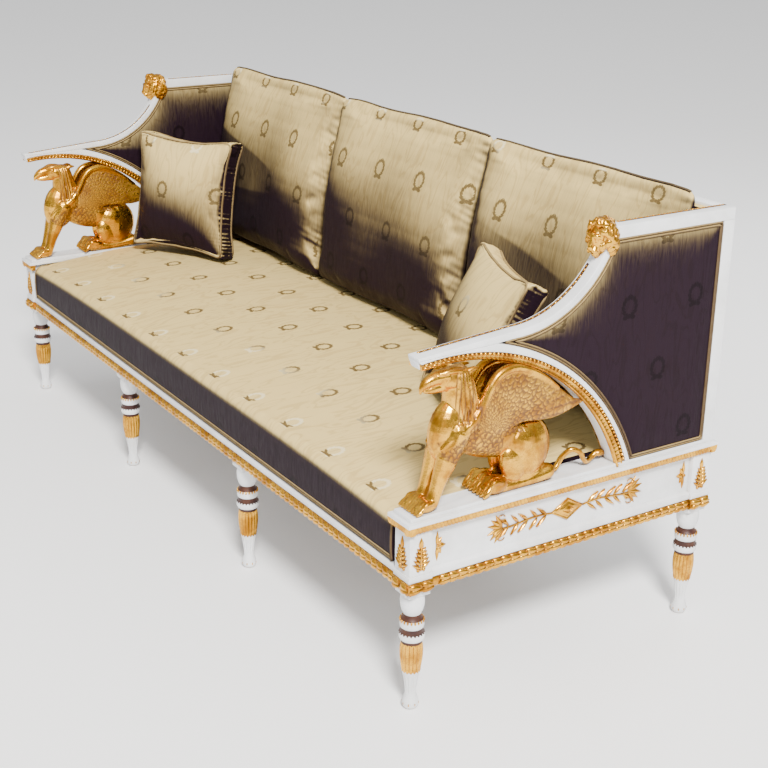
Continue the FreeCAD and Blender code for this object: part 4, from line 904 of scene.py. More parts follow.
def makePillow(which, look):
    node = "scatter_pillow_" + which
    mesh, low, high = stuffed(node, look)
    yaw, lean = (math.radians(a) for a in look["turns"][which])
    turn = np.array(Matrix.Rotation(yaw, 3, "Z") @ Matrix.Rotation(-lean, 3, "X"))
    solid = np.array([v.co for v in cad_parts[node].data.vertices]) @ turn
    centre = (solid.min(0) + solid.max(0)) / 2
    spots, normals = readPoints(mesh)
    own = spots @ turn - centre
    out = normals @ turn
    reach = [look["half"] - look["draw"] * (1 - np.clip(own[:, i] / look["half"], -1, 1) ** 2) for i in (2, 0)]
    away = [1 - np.clip(own[:, i] / r, -1, 1) ** 2 for i, r in zip((0, 2), reach)]
    deep = np.abs(own[:, 1]).max() - look["border"]
    crown = np.sign(own[:, 1]) * (look["border"] + deep * (away[0] * away[1]) ** look["fullness"])
    onFace = np.clip((np.abs(own[:, 1]) - look["border"]) / look["faceFade"], 0, 1)
    sunk = np.clip((0.04 - own[:, 2]) / 0.2, 0, 1) ** 2 * np.clip(-own[:, 1] / look["border"] - 0.6, 0, 1)
    sunk = sunk * np.clip(0.6 - 0.5 * own[:, 0] / look["half"], 0, 1)
    own[:, 1] += look["crowned"] * onFace * (crown - own[:, 1])
    frontHalf = np.clip((0.006 - own[:, 1]) / 0.020, 0, 1)
    shaped = own.copy()
    shaped[:, 1] += look["slump"] * sunk - look["wider"][which] * frontHalf
    spots = (shaped + centre) @ turn.T
    around = np.where(np.abs(own[:, 0]) > np.abs(own[:, 2]), own[:, 2], own[:, 0])
    onBorder = np.clip((look["border"] + 0.006 - np.abs(own[:, 1])) / 0.010, 0, 1) * (np.abs(out[:, 1]) < 0.5)
    fold = np.sin(around * 2 * math.pi / look["gatherPitch"] + 2.6 * np.sin(around * 47) + own[:, 1] * 60)
    fold = fold * (0.6 + 0.4 * np.sin(around * 83 + own[:, 1] * 30)) + 0.35 * np.sin(around * 870)
    inward = look["half"] - np.maximum(np.abs(own[:, 0]), np.abs(own[:, 2]))
    faceRim = np.clip(1 - inward / look["rimReach"], 0, 1)
    share = onBorder + look["rimShare"] * faceRim * (1 - onBorder)
    spots = spots + normals * (look["gather"][which] * fold * share)[:, None]
    spots[:, 2] = np.maximum(spots[:, 2], low[2])
    writePoints(mesh, spots)
    shiftU, shiftV = look["motifShift"][which]

    def mapping(corners, faces):
        flat, to = corners @ turn - centre, faces @ turn
        border = np.abs(to[:, 1]) < 0.55
        upright = np.abs(to[:, 0]) > np.abs(to[:, 2])
        u = np.where(border & upright, flat[:, 1] + 0.02, flat[:, 0] + shiftU)
        v = np.where(border & ~upright, flat[:, 1] + 0.02, flat[:, 2] + shiftV)
        return np.stack([u, v + motifAlong * 10], 1)

    setCloth(mesh, mapping)
    pillow = addPiece(node + "_stuffed", mesh, oliveSilk, body=node, stands=(node,))
    tree = treeOf(mesh)
    piping = Shape()
    h = look["half"] - look["pipeInset"]
    for level in (-look["border"] - look["wider"][which], look["border"]):
        loop = []
        for i in range(4):
            for t in np.linspace(-1, 1, 25)[:-1]:
                reach = h - look["draw"] * (1 - t * t)
                x, z = ((t * h, -reach), (reach, t * h), (-t * h, reach), (-reach, -t * h))[i]
                loop.append((x, level, z))
        loop = (np.array(loop) + centre) @ turn.T
        path = ontoSurface(tree, np.vstack([loop, loop[:2]]), look["pipeLift"])[1:-1]
        piping.add(*tube(path, look["welt"], 8, True))
    addTrim(node + "_piping", piping, pipingSilk, node)


for which in ("left", "right"):
    makePillow(which, pillowForm)
print("pillows made")


# padded panels: a crowned face each side of an outline, with double piping

def outlineOf(node, axis, sign):  # the rim of the node's flat face that looks along an axis
    form = bmesh.new()
    form.from_mesh(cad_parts[node].data)
    bmesh.ops.remove_doubles(form, verts=form.verts, dist=2e-5)
    far = max(v.co[axis] * sign for v in form.verts)
    face = {f for f in form.faces if all(v.co[axis] * sign > far - 2e-4 for v in f.verts)}
    following = {}
    for f in face:
        for loop in f.loops:
            if sum(g in face for g in loop.edge.link_faces) == 1:
                following[loop.vert.index] = loop.link_loop_next.vert.index
    chain = [min(following)]  # the same start in every run
    while following[chain[-1]] != chain[0]:
        chain.append(following[chain[-1]])
    form.verts.ensure_lookup_table()
    places = np.array([form.verts[i].co for i in chain])
    form.free()
    return places


def awayFromRim(spots, rim):  # each point's distance to the closed rim
    a, b = rim, np.roll(rim, -1, 0)
    run = b - a
    along = np.clip(((spots[:, None] - a) * run).sum(2) / np.maximum((run ** 2).sum(1), 1e-12), 0, 1)
    return np.linalg.norm(spots[:, None] - (a + run * along[:, :, None]), axis=2).min(1)


def insideRim(spots, rim):
    inside = np.zeros(len(spots), bool)
    for (ax, ay), (bx, by) in zip(rim, np.roll(rim, -1, 0)):
        cuts = (ay > spots[:, 1]) != (by > spots[:, 1])
        inside ^= cuts & (spots[:, 0] < (bx - ax) * (spots[:, 1] - ay) / (by - ay + 1e-15) + ax)
    return inside


def insetRim(rim, depth):  # the rim moved inwards
    run = np.roll(rim, -1, 0) - np.roll(rim, 1, 0)
    run /= np.maximum(np.linalg.norm(run, axis=1), 1e-9)[:, None]
    area = 0.5 * np.sum(rim[:, 0] * np.roll(rim[:, 1], -1) - np.roll(rim[:, 0], -1) * rim[:, 1])
    inward = np.stack([-run[:, 1], run[:, 0]], 1) * (1 if area > 0 else -1)
    return rim + inward * depth


armPanel = {"rimStep": 0.006, "step": 0.011, "crown": 0.0060, "crownInside": 0.0105, "soft": 0.020,
            "softInside": 0.034, "face": 1.0762, "inner": 1.0478, "fill": 0.8, "piping": 0.0025,
            "pipingIn": (0.0028, 0.0080), "motifShift": (0.06, 0.02)}


def panelMesh(name, rim, step, outside, inside, crowns, softs, lift):  # lift turns flat points into places
    gridA = np.arange(rim[:, 0].min(), rim[:, 0].max(), step)
    gridB = np.arange(rim[:, 1].min(), rim[:, 1].max(), step)
    fill = np.array([(a + (0.5 * step if i % 2 else 0), b) for i, b in enumerate(gridB) for a in gridA])
    fill = fill[insideRim(fill, rim)]
    fill = fill[awayFromRim(fill, rim) > 0.45 * step]
    count = len(rim)
    flat = np.vstack([rim, fill])
    spots, _, faces, _, _, _ = delaunay_2d_cdt([Vector(p) for p in flat],
                                               [(i, (i + 1) % count) for i in range(count)],
                                               [], 1, 1e-7)
    flat = np.array([tuple(p) for p in spots])
    depth = awayFromRim(flat, rim)
    rise, riseInside = (crown * (1 - np.exp(-depth / soft)) for crown, soft in zip(crowns, softs))
    total = len(flat)
    points = np.vstack([lift(flat, outside + rise), lift(flat, inside - riseInside)])
    edges = {}
    for f in faces:
        for a, b in zip(f, f[1:] + f[:1]):
            edges[(a, b)] = edges.get((a, b), 0) + 1
    border = [(a, b) for (a, b) in edges if (b, a) not in edges]
    faces = [tuple(f) for f in faces] + [tuple(total + i for i in reversed(f)) for f in faces]
    faces += [(b, a, a + total, b + total) for a, b in border]
    return Shape().add(points, faces).mesh(name, 60)


def sideways(sign):  # flat points and heights become places on a face that looks along X
    return lambda flat, height: np.column_stack([np.broadcast_to(height, (len(flat),)) * sign, flat])


def makeArmPanel(side, sign, look):
    node = "arm_panel_" + side
    rim = evenly(outlineOf(node, 0, sign)[:, 1:], look["rimStep"], True)
    lift = sideways(sign)
    mesh = panelMesh(node + "_padded", rim, look["step"], look["face"], look["inner"],
                     (look["crown"], look["crownInside"]), (look["soft"], look["softInside"]), lift)
    setCloth(mesh, lambda corners, faces: corners[:, 1:] + look["motifShift"] + np.array((0, motifAlong * 8)))
    panel = addPiece(node + "_padded", mesh, oliveSilk, stands=(node,))
    piping = Shape()
    for depth in look["pipingIn"]:
        line = insetRim(rim, depth)
        line = line[awayFromRim(line, rim) > 0.9 * depth]
        for height, out, end in ((look["face"], 1, ""), (look["inner"], -1, "Inside")):
            swell = look["crown" + end] * (1 - math.exp(-depth / look["soft" + end]))
            rise = height + out * swell + out * 0.0009
            piping.add(*tube(lift(evenly(line, 0.007, True), rise), look["piping"], 8, True))
    addTrim(node + "_piping", piping, pipingSilk)


for side, sign in sides:
    makeArmPanel(side, sign, armPanel)
print("arm panels made")


# carved work: masses joined into one skin, then cut with feathers and hair

def curve(points, step):  # a smooth line through the points
    points = np.asarray(points, float)
    ends = np.vstack([2 * points[0] - points[1], points, 2 * points[-1] - points[-2]])
    made = []
    for i in range(1, len(ends) - 2):
        a, b, c, d = ends[i - 1], ends[i], ends[i + 1], ends[i + 2]
        for t in np.linspace(0, 1, 12)[:-1]:
            made.append(0.5 * (2 * b + (c - a) * t + (2 * a - 5 * b + 4 * c - d) * t ** 2
                               + (3 * b - a - 3 * c + d) * t ** 3))
    return evenly(np.array(made + [points[-1]]), step)


def limb(shape, stations, step=3.0, around=14):  # a rounded limb through stations of (x, y, z, radius)
    line = curve(stations, step)
    shape.add(*tube(line[:, :3], np.maximum(line[:, 3], 0.6), around))
    for end in (line[0], line[-1]):
        shape.add(*ball(end[:3], (max(end[3], 0.6),) * 3))


def tilted(degrees):
    return np.array(Matrix.Rotation(math.radians(degrees), 3, "X"))


def carvedSkin(shape, voxel, passes):  # one skin round all the masses, in millimetres
    source = bpy.data.objects.new("masses", shape.mesh("masses"))
    bpy.context.scene.collection.objects.link(source)
    remesh = source.modifiers.new("skin", "REMESH")
    remesh.mode, remesh.voxel_size = "VOXEL", voxel
    relax = source.modifiers.new("relax", "SMOOTH")
    relax.iterations, relax.factor = passes, 0.5
    deps = bpy.context.evaluated_depsgraph_get()
    mesh = bpy.data.meshes.new_from_object(source.evaluated_get(deps))
    bpy.data.objects.remove(source)
    return mesh


def scales(a, b, rowPitch, width):  # overlapping tips: 1 on a tip's crown, 0 in the cut round it
    row = np.floor(b / width)
    inRow = np.abs(b / width - row - 0.5) * 2
    line = a / rowPitch + 0.5 * (row % 2) + 0.55 * inRow ** 2
    along = line - np.floor(line)
    return np.clip(along * 1.15, 0, 1) ** 0.7 * (1 - 0.75 * inRow ** 4)


def setCutShade(mesh, cut):  # how deep each point lies in a cut, for painted shade in the cuts
    layer = mesh.attributes.new("cut", "FLOAT", "POINT")
    layer.data.foreach_set("value", np.clip(cut, 0, 1).astype(np.float32))


griffinForm = {"centre": 1.048, "voxel": 1.5, "passes": 3, "floor": 436.2, "feather": 1.4, "hair": 1.5,
               "wingFoot": (-214.0, 578.0), "rowPitch": 12.0, "spread": 0.098, "scalePitch": 12.5,
               "scaleWidth": 11.5}


def griffinMasses():
    shape = Shape()
    shape.add(*ball((0, -286, 586), (34, 49, 68), tilted(-10), 14, 20))
    shape.add(*ball((0, -196, 560), (31, 97, 49), tilted(-14), 14, 20))
    shape.add(*ball((0, -104, 514), (36, 60, 68), None, 14, 20))
    limb(shape, [(0, -258, 604, 38), (0, -270, 640, 32), (0, -274, 672, 27), (0, -272, 692, 23)])
    shape.add(*ball((0, -284, 694), (23, 40, 22), tilted(4), 12, 16))
    limb(shape,
         [(0, -300, 698, 17), (0, -322, 699, 14.5), (0, -342, 694, 11), (0, -354, 685, 6.5),
          (0, -358, 675, 2.5)], 2)
    limb(shape, [(0, -296, 682, 13), (0, -318, 680, 11), (0, -334, 678, 8.5), (0, -347, 677, 4.5)], 2)
    for s in (-1, 1):
        limb(shape,
             [(11 * s, -322, 709, 3.0), (16 * s, -304, 712.5, 4.6), (17 * s, -282, 711, 4.2),
              (16 * s, -264, 706, 3)], 2)
        shape.add(*ball((15.5 * s, -306, 702.5), (4.4, 5.6, 4.4)))
        shape.add(*ball((14.5 * s, -290, 688), (8.5, 15, 11), tilted(-20)))
        limb(shape, [(13 * s, -264, 703, 7), (16 * s, -248, 709, 5.5), (16 * s, -236, 708, 2)], 2)
        limb(shape, [(7 * s, -330, 704, 4), (6 * s, -342, 700, 2.5)], 2)
        for k, angle in enumerate((72, 94, 116, 137, 158)):  # long hair down the sides and back of the neck
            a = math.radians(angle)
            drift = 3 * math.sin(k * 2.1)
            hair = []
            for z, reach in ((708, 17), (696, 24), (678, 29), (658, 33), (638, 36 + drift),
                             (618 - 3 * k, 38 + drift)):
                y = -274 + (706 - z) * 0.10
                hair.append((s * reach * 0.92 * math.sin(a), y - reach * math.cos(a) * 0.95, z,
                             5.4 if z > 630 else 2.6))
            limb(shape, hair, 2.5, 10)
        limb(shape,
             [(17 * s, -282, 588, 28), (18 * s, -298, 556, 25), (17.5 * s, -312, 520, 19.5),
              (17 * s, -322, 494, 15.5), (17 * s, -331, 468, 13.5), (17 * s, -338, 452, 14)])
        shape.add(*ball((17 * s, -352, 447), (15, 24, 11)))
        for toe in (-12.5, -4.2, 4.2, 12.5):
            limb(shape,
                 [(17 * s + toe * 0.85, -345, 456, 5.5), (17 * s + toe, -357, 456, 5.2),
                  (17 * s + toe * 1.05, -365, 450, 3.8), (17 * s + toe * 1.1, -372, 444, 5),
                  (17 * s + toe * 1.1, -379, 440, 3.5)], 2, 10)
        shape.add(*ball((12 * s, -110, 508), (27, 54, 58), None, 14, 20))
        shape.add(*ball((20 * s, -146, 492), (17, 30, 42), tilted(18), 12, 16))
        shape.add(*ball((12 * s, -124, 530), (26, 44, 40), tilted(-20), 12, 18))
        limb(shape,
             [(19 * s, -58, 456, 17), (19 * s, -92, 450, 13.5), (18 * s, -136, 446, 11.5),
              (18 * s, -170, 447, 12.5)])
        limb(shape, [(20 * s, -150, 466, 10), (21 * s, -118, 460, 9), (20 * s, -82, 462, 9)])
        shape.add(*ball((18 * s, -188, 456), (20, 30, 20)))
        for toe in (-16.5, -5.5, 5.5, 16.5):
            limb(shape,
                 [(18 * s + toe * 0.8, -184, 463, 6.5), (18 * s + toe, -200, 468, 6.6),
                  (18 * s + toe * 1.03, -209, 460, 4.4), (18 * s + toe * 1.05, -217, 450, 6.2),
                  (18 * s + toe * 1.05, -224, 443, 4)], 2, 10)
    limb(shape,
         [(0, -58, 462, 8), (0, -40, 447, 7), (0, -20, 446, 6.4), (0, -4, 466, 6), (10, 12, 483, 5.8),
          (14, 32, 474, 5.6), (10, 46, 455, 5.6), (4, 60, 444, 5.6), (-4, 80, 446, 6), (-4, 96, 455, 6.5),
          (0, 110, 448, 3)], 2.5, 12)
    shape.add(*ball((-2, 99, 453), (8.5, 13, 7.5)))
    return shape


wingLine = [(-214, 560), (-238, 584), (-236, 616), (-222, 650), (-205, 686), (-186, 698), (-160, 702),
            (-122, 690), (-80, 666), (-40, 632), (-6, 606), (22, 597), (-4, 586), (-48, 575), (-92, 576),
            (-136, 580), (-176, 566)]
wingRim = [(-322, 562, 4), (-300, 584, 7.5), (-264, 604, 10), (-236, 632, 9.5), (-213, 672, 9.5),
           (-192, 693, 9.5), (-160, 699, 9), (-122, 687, 7.5), (-82, 664, 5.5), (-48, 637, 3.4)]
wingRimOut = [25, 31, 32, 29, 28, 28, 28, 28, 28, 28]


def addWings(shape):
    rim = evenly(curve(wingLine + wingLine[:1], 5)[:-1], 5, True)
    for s in (-1, 1):
        blade = panelMesh("blade", rim, 8.0, 29.0, 24.0, (7.0, 7.0), (22.0, 22.0), sideways(s))
        spots, _ = readPoints(blade)
        shape.add(spots, [tuple(f.vertices) for f in blade.polygons])
        bpy.data.meshes.remove(blade)
        limb(shape, [(s * out, y, z, r) for out, (y, z, r) in zip(wingRimOut, wingRim)])


def makeGriffins(look):
    shape = griffinMasses()
    addWings(shape)
    mesh = carvedSkin(shape, look["voxel"], look["passes"])
    spots, normals = readPoints(mesh)
    x, y, z = spots.T
    ruffle = 2.2 * np.sin(y * 0.21 + z * 0.13 + 1.7 * np.sin(z * 0.11)) + 1.6 * np.sin(z * 0.37 - y * 0.19)
    rim = evenly(curve(wingLine + wingLine[:1], 5)[:-1], 5, True)
    flat = spots[:, 1:]
    away = np.where(insideRim(flat, rim), awayFromRim(flat, rim), 0)
    leadLine = curve(np.array(wingRim, float), 4)
    leadAway = np.min(np.linalg.norm(flat[:, None] - leadLine[None, :, :2], axis=2) - leadLine[None, :, 2],
                      axis=1)
    onWing = (away > 0) & (np.abs(x) > 20) & (z > 575 - 0.1 * (y + 140)) & (np.abs(normals[:, 0]) > 0.35)
    fromFoot = flat - look["wingFoot"]
    reach, angle = np.linalg.norm(fromFoot, axis=1), np.arctan2(fromFoot[:, 1], fromFoot[:, 0])
    small = scales(ruffle - reach, angle / look["spread"] * 10 + ruffle * 0.5, look["rowPitch"], 10.0)
    quill = np.abs(np.sin(angle / look["spread"] * 0.5 * math.pi * 1.9 + reach * 0.016))
    outer = 0.4 * np.clip((reach - 128) / 20, 0, 1)
    wingCut = small * (1 - outer) + np.clip(quill * 1.6, 0, 1) * outer
    onBody = (z > 512) & (z < 640) & (y > -335) & (y < -128) & (np.abs(x) > 11) & ~onWing
    onBody &= (z < 590 + 0.55 * (y + 300)) & (np.abs(normals[:, 0]) > 0.30)
    onBody &= (z - 512 > 0.55 * (-150 - y) - 62) & ~((y > -178) & (z < 560))
    bodyCut = scales(z - 0.35 * y + ruffle, y + 0.35 * z + ruffle, look["scalePitch"], look["scaleWidth"])
    hair = (z > 606) & (z < 708) & (y > -292) & (y < -228) & ~onWing & (np.abs(x) < 40)
    fringe = np.abs(np.sin(np.arctan2(x, y + 274) * 11 + z * 0.02))
    leadSmooth = np.clip(leadAway / 4.0, 0, 1)
    cut = np.ones(len(spots))
    cut = np.where(onWing, 1 - (1 - wingCut) * leadSmooth, cut)
    cut = np.where(onBody, 1 - (1 - bodyCut) * leadSmooth * np.clip((np.abs(x) - 11) / 8, 0, 1), cut)
    cut = np.where(hair, np.clip(fringe * 1.5, 0, 1), cut)
    spots = spots + normals * ((cut - 1) * np.where(hair, look["hair"], look["feather"]))[:, None]
    spots[:, 2] = np.maximum(spots[:, 2], look["floor"])
    faces = [tuple(f.vertices) for f in mesh.polygons]
    for side, sign in sides:
        placed = np.stack([sign * (look["centre"] + spots[:, 0] * 0.001), spots[:, 1] * 0.001,
                           spots[:, 2] * 0.001], 1)
        carved = Shape().add(placed, faces).mesh("griffin_" + side + "_carved")
        # painted shade in the feather, scale and hair cuts
        setCutShade(carved, (1 - cut) * 1.7)
        addPiece("griffin_" + side + "_carved", carved, giltCarving,
                 stands=("griffin_" + side, "griffin_wings_" + side))


makeGriffins(griffinForm)
print("griffins made")


lionForm = {"centre": (1060.0, 56.0, 925.0), "face": (0.20, -0.95, -0.24), "voxel": 1.4, "passes": 2,
            "core": (0.92, 1.0, 1.12), "curls": 54, "stretch": (0.90, 1.0, 1.18), "reach": 30.0, "deep": 30.0}


def makeLions(look):
    shape = Shape()
    forward = np.array(look["face"]) / np.linalg.norm(look["face"])
    right = np.cross(forward, (0, 0, 1.0))
    right /= np.linalg.norm(right)
    up = np.cross(right, forward)
    turn = np.stack([right, forward, up], 1)

    def spot(r, f, u):
        return right * r + forward * f + up * u

    shape.add(*ball(spot(0, -4, 0), (31, 32, 31), turn, 14, 18))
    shape.add(*ball(spot(0, 15, -2), (21, 20, 22), turn, 12, 16))
    shape.add(*ball(spot(0, 30, -10), (12.5, 12, 9), turn))
    shape.add(*ball(spot(0, 27, -20), (9.5, 10, 6.5), turn))
    shape.add(*ball(spot(0, 17, -29), (12, 11, 9), turn))
    shape.add(*ball(spot(0, 4, -31), (15, 17, 11), turn))
    limb(shape, [(*spot(0, 29, 12), 6.8), (*spot(0, 36, 2), 5.4), (*spot(0, 41, -5), 6)], 2)
    shape.add(*ball(spot(0, 41.5, -5.5), (6.6, 4, 4), turn))
    for s in (-1, 1):
        shape.add(*ball(spot(6.5 * s, 37, -12), (6.4, 6, 5.4), turn))
        limb(shape,
             [(*spot(3 * s, 31, 10), 4.2), (*spot(11 * s, 30, 12.5), 4.8), (*spot(18 * s, 22, 8), 3.6)], 2)
        shape.add(*ball(spot(9.5 * s, 30.5, 4.6), (3.8, 3.4, 3), turn))
        shape.add(*ball(spot(15 * s, 21, -8), (8, 10, 9), turn))
        limb(shape, [(*spot(20 * s, 8, 19), 6.5), (*spot(24 * s, 8, 25), 4.4), (*spot(24 * s, 9, 29), 2)], 2)
    golden = math.pi * (3 - math.sqrt(5))
    for i in range(look["curls"]):
        f = 0.55 - 1.45 * (i + 0.5) / look["curls"]
        r = math.sqrt(max(0.0, 1 - f * f))
        a = golden * i
        way = right * (r * math.cos(a)) + forward * f + up * (r * math.sin(a))
        side = np.cross(way, forward)
        side /= np.linalg.norm(side) + 1e-9
        down = np.cross(side, way)
        reach = look["reach"] + 3.2 * math.sin(i * 2.3)
        curl = []
        for t in np.linspace(0, 1, 6):  # each lock turns over at its end
            b = 4.0 * t * (1 if i % 2 else -1)
            curl.append((*(way * (reach + 3.0 * math.sin(math.pi * t)) + down * (10 * (t - 0.4)) * -1
                           + side * (4.6 * math.sin(b))), 6.6 * (1 - 0.45 * t)))
        limb(shape, curl, 2, 10)
    mesh = carvedSkin(shape, look["voxel"], look["passes"])
    spots, _ = readPoints(mesh)
    spots = (spots @ turn * look["stretch"]) @ turn.T
    faces = [tuple(f.vertices) for f in mesh.polygons]
    fromMiddle = np.linalg.norm(spots / np.array(look["core"]), axis=1)
    # painted shade in the hollows between the mane's locks, round the core of the head
    deep = np.clip((look["deep"] - fromMiddle) / 6, 0, 1) * (spots @ forward < 12)
    for side, sign in sides:
        placed = (spots + look["centre"]) * 0.001 * np.array((sign, 1, 1))
        carved = Shape().add(placed, faces).mesh("lion_head_" + side + "_carved")
        setCutShade(carved, deep)
        addPiece("lion_head_" + side + "_carved", carved, giltCarving, stands=("lion_head_" + side,))


makeLions(lionForm)
print("lion heads made")


# gilt mouldings along straight runs and arcs

def moulding(shape, line, outs, ups, profile, pitch=None, depth=0.0, slant=0.0):  # profile of (out, up)
    run = np.concatenate([[0], np.cumsum(np.linalg.norm(np.diff(line, axis=0), axis=1))])
    profile = np.asarray(profile, float)
    rows = []
    for p, out, up, at in zip(line, outs, ups, run):
        part = profile.copy()
        if pitch:
            beat = np.abs(np.sin(math.pi * (at + slant * profile[:, 1]) / pitch))
            part[:, 0] = profile[:, 0] - depth * (1 - beat) * (profile[:, 0] > 0.001)
        rows.append(p + part[:, :1] * out + part[:, 1:] * up)
    shape.add(np.concatenate(rows), capped(len(rows), len(profile)))


def straight(start, end, step):
    return np.linspace(start, end, max(2, int(np.linalg.norm(np.subtract(end, start)) / step) + 1))


leafRow = {"low": 0.274, "high": 0.299, "pitch": 0.0210, "length": 0.029, "width": 0.0158, "thick": 0.0062,
           "tie": 0.126}


def leafRun(shape, start, end, out, look):  # a half-round run with overlapping leaves and crossed ties
    start, end, out = (np.asarray(v, float) for v in (start, end, out))
    along = (end - start) / np.linalg.norm(end - start)
    up = np.array((0, 0, 1.0))
    height = look["high"] - look["low"]
    profile = [(-0.004, 0), (0.0030, 0), (0.0062, 0.0040), (0.0074, 0.0125), (0.0062, 0.0210),
               (0.0030, height), (-0.004, height)]
    line = straight(start, end, 0.02)
    moulding(shape, line, [out] * len(line), [up] * len(line), profile)
    total = np.linalg.norm(end - start)
    count = max(1, int(total / look["pitch"]))
    for i in range(count):
        at = start + along * ((i + 0.5) * total / count - look["length"] * 0.45)
        for angle in (-38, 38):
            a = math.radians(angle)
            normal = out * math.cos(a) + up * math.sin(a)
            spot = at + up * height / 2 + out * 0.0005
            spot = spot + (out * 0.0062 * math.cos(a) + up * 0.0125 * math.sin(a))
            heading = along - up * 0.34 * np.sign(angle)
            heading = heading - normal * (heading @ normal)
            heading /= np.linalg.norm(heading)
            reach = min(look["length"], (end - spot) @ along + 0.001)
            if reach > 0.006 and (spot - start) @ along > -0.0005:
                shape.add(*leaf(spot, heading, normal, reach, look["width"], look["thick"], 0.0009, 5))
    for at in np.arange(look["tie"] / 2, total, look["tie"]):
        for way in (-1, 1):
            tie = []
            for t in np.linspace(-1, 1, 9):
                a = t * 1.35
                tie.append(start + along * (at + way * t * 0.007) + up * (height / 2 + 0.0118 * math.sin(a))
                           + out * (0.0010 + 0.0088 * math.cos(a)))
            shape.add(*tube(tie, 0.0013, 6))


def makeBaseMouldings(look):
    z = look["low"]
    front = Shape()
    leafRun(front, (-1.028, -0.387, z), (1.028, -0.387, z), (0, -1, 0), look)
    addGilt("base_moulding_front_carved", front, 55, ("base_moulding_front",))
    for side, sign in sides:
        shape = Shape()
        runs = [((1.026, -0.3935, z), (1.0855, -0.3935, z), (0, -1, 0)),
                ((1.0785, -0.4005, z), (1.0785, -0.342, z), (1, 0, 0)),
                ((1.0705, -0.343, z), (1.0705, 0.343, z), (1, 0, 0)),
                ((1.0785, 0.342, z), (1.0785, 0.396, z), (1, 0, 0))]
        for start, end, out in runs:
            leafRun(shape, *(np.array(v) * (sign, 1, 1) for v in (start, end, out)), look)
        name = "base_moulding_" + side
        addGilt(name + "_carved", shape, 55, (name,))


makeBaseMouldings(leafRow)

coveRow = {"profile": [(-0.006, -0.0015), (0.0060, -0.0015), (0.0086, 0.0008), (0.0100, 0.0045),
                       (0.0104, 0.0082), (0.0096, 0.0112), (0.0104, 0.0128), (0.0104, 0.0150),
                       (-0.006, 0.0150)], "pitch": 0.0085, "depth": 0.0024, "step": 0.0014}


def makeCoves(look):
    for side, sign in sides:
        name = "cove_" + side
        low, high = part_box(name)
        x = max(abs(low[0]), abs(high[0])) - 0.0105
        y = high[1] - 0.0105
        inner = min(abs(low[0]), abs(high[0]))
        shape = Shape()
        z = np.array((0, 0, 1.0))
        for start, end, out in (((inner, -y, low[2]), (x, -y, low[2]), (0, -1, 0)),
                                ((x, -y, low[2]), (x, y, low[2]), (1, 0, 0)),
                                ((x, y, low[2]), (inner, y, low[2]), (0, 1, 0))):
            out = np.array(out, float)
            run = np.array(end) - np.array(start)
            run /= np.linalg.norm(run)
            reach = 0.0098 * (1 if abs(out[0]) else 0.999)
            line = straight(np.array(start) - run * (reach if abs(out[0]) or out[1] > 0 else 0),
                            np.array(end) + run * (reach if abs(out[0]) or out[1] < 0 else 0), look["step"])
            line, out = line * (sign, 1, 1), out * (sign, 1, 1)
            moulding(shape, line, [out] * len(line), [z] * len(line), look["profile"], look["pitch"],
                     look["depth"], 0.35)
        addGilt(name + "_carved", shape, 60, (name,))


makeCoves(coveRow)

archRow = {"faces": [("", 1.0745, 1), ("_inside", 1.0455, -1)], "outer": (-0.306, 0.2708, 0.479),
           "inner": (-0.314, 0.279, 0.458), "dentil": 0.0105, "step": 0.0015,
           "hollow": [0.0020, 0.0020, 0.0024, 0.0072, 0.0060, 0.0056, 0.0066, 0.0086, 0.0066]}


def onRing(ring, angle):  # a point of a circle given by its middle and radius
    y, z, radius = ring
    return y + radius * math.cos(angle), z + radius * math.sin(angle)


def makeArchMouldings(look):
    for side, sign in sides:
        name = "arch_moulding_" + side
        spots = np.array([v.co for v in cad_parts[name].data.vertices])
        angles = np.arctan2(spots[:, 2] - look["outer"][1], spots[:, 1] - look["outer"][0])
        sweep = np.linspace(angles.max(), angles.min(), int(look["outer"][2] * np.ptp(angles) / look["step"]))
        run = []
        for a in sweep:
            y, z = onRing(look["outer"], a)
            b = math.atan2(z - look["inner"][1], y - look["inner"][0])
            y2, z2 = onRing(look["inner"], b)
            run.append(((y, z), (y2, z2)))
        run = np.array(run)
        cut = np.linspace(0, 1, len(look["hollow"]))
        line = evenly(run[:, 0], look["dentil"])
        for end, face, out in look["faces"]:
            shape, rows = Shape(), []
            for i, (a, b) in enumerate(run):
                ribs = 0.0020 * abs(math.sin(math.pi * i * look["step"] / look["dentil"]))
                ring = [((face + out * (h - (ribs if 2 < k < 7 else 0))) * sign, *(a + (b - a) * t))
                        for k, (t, h) in enumerate(zip(cut, look["hollow"]))]
                ring += [((face - out * 0.002) * sign, *b), ((face - out * 0.002) * sign, *a)]
                rows.append(ring)
            shape.add(np.array(rows).reshape(-1, 3), capped(len(rows), len(rows[0])))
            for i in range(1, len(line) - 1):  # small drops along the white band
                way = line[i + 1] - line[i - 1]
                way /= np.linalg.norm(way)
                inward = run[np.argmin(np.linalg.norm(run[:, 0] - line[i], axis=1))]
                inward = (inward[1] - inward[0]) / np.linalg.norm(inward[1] - inward[0])
                turn = np.array([(1, 0, 0), (0, *way), (0, *inward)]).T
                spot = np.array(((face + out * 0.0040) * sign, *(line[i] + inward * 0.0034)))
                shape.add(*ball(spot, (0.0050, 0.0033, 0.0040), turn, 6, 9))
            addGilt(name + end + "_carved", shape, 60, () if end else (name,))


makeArchMouldings(archRow)
print("gilt mouldings made")


# bead and reel along the inner top edge of each arm, over a dark strip that paints shade in the gaps between
# the beads

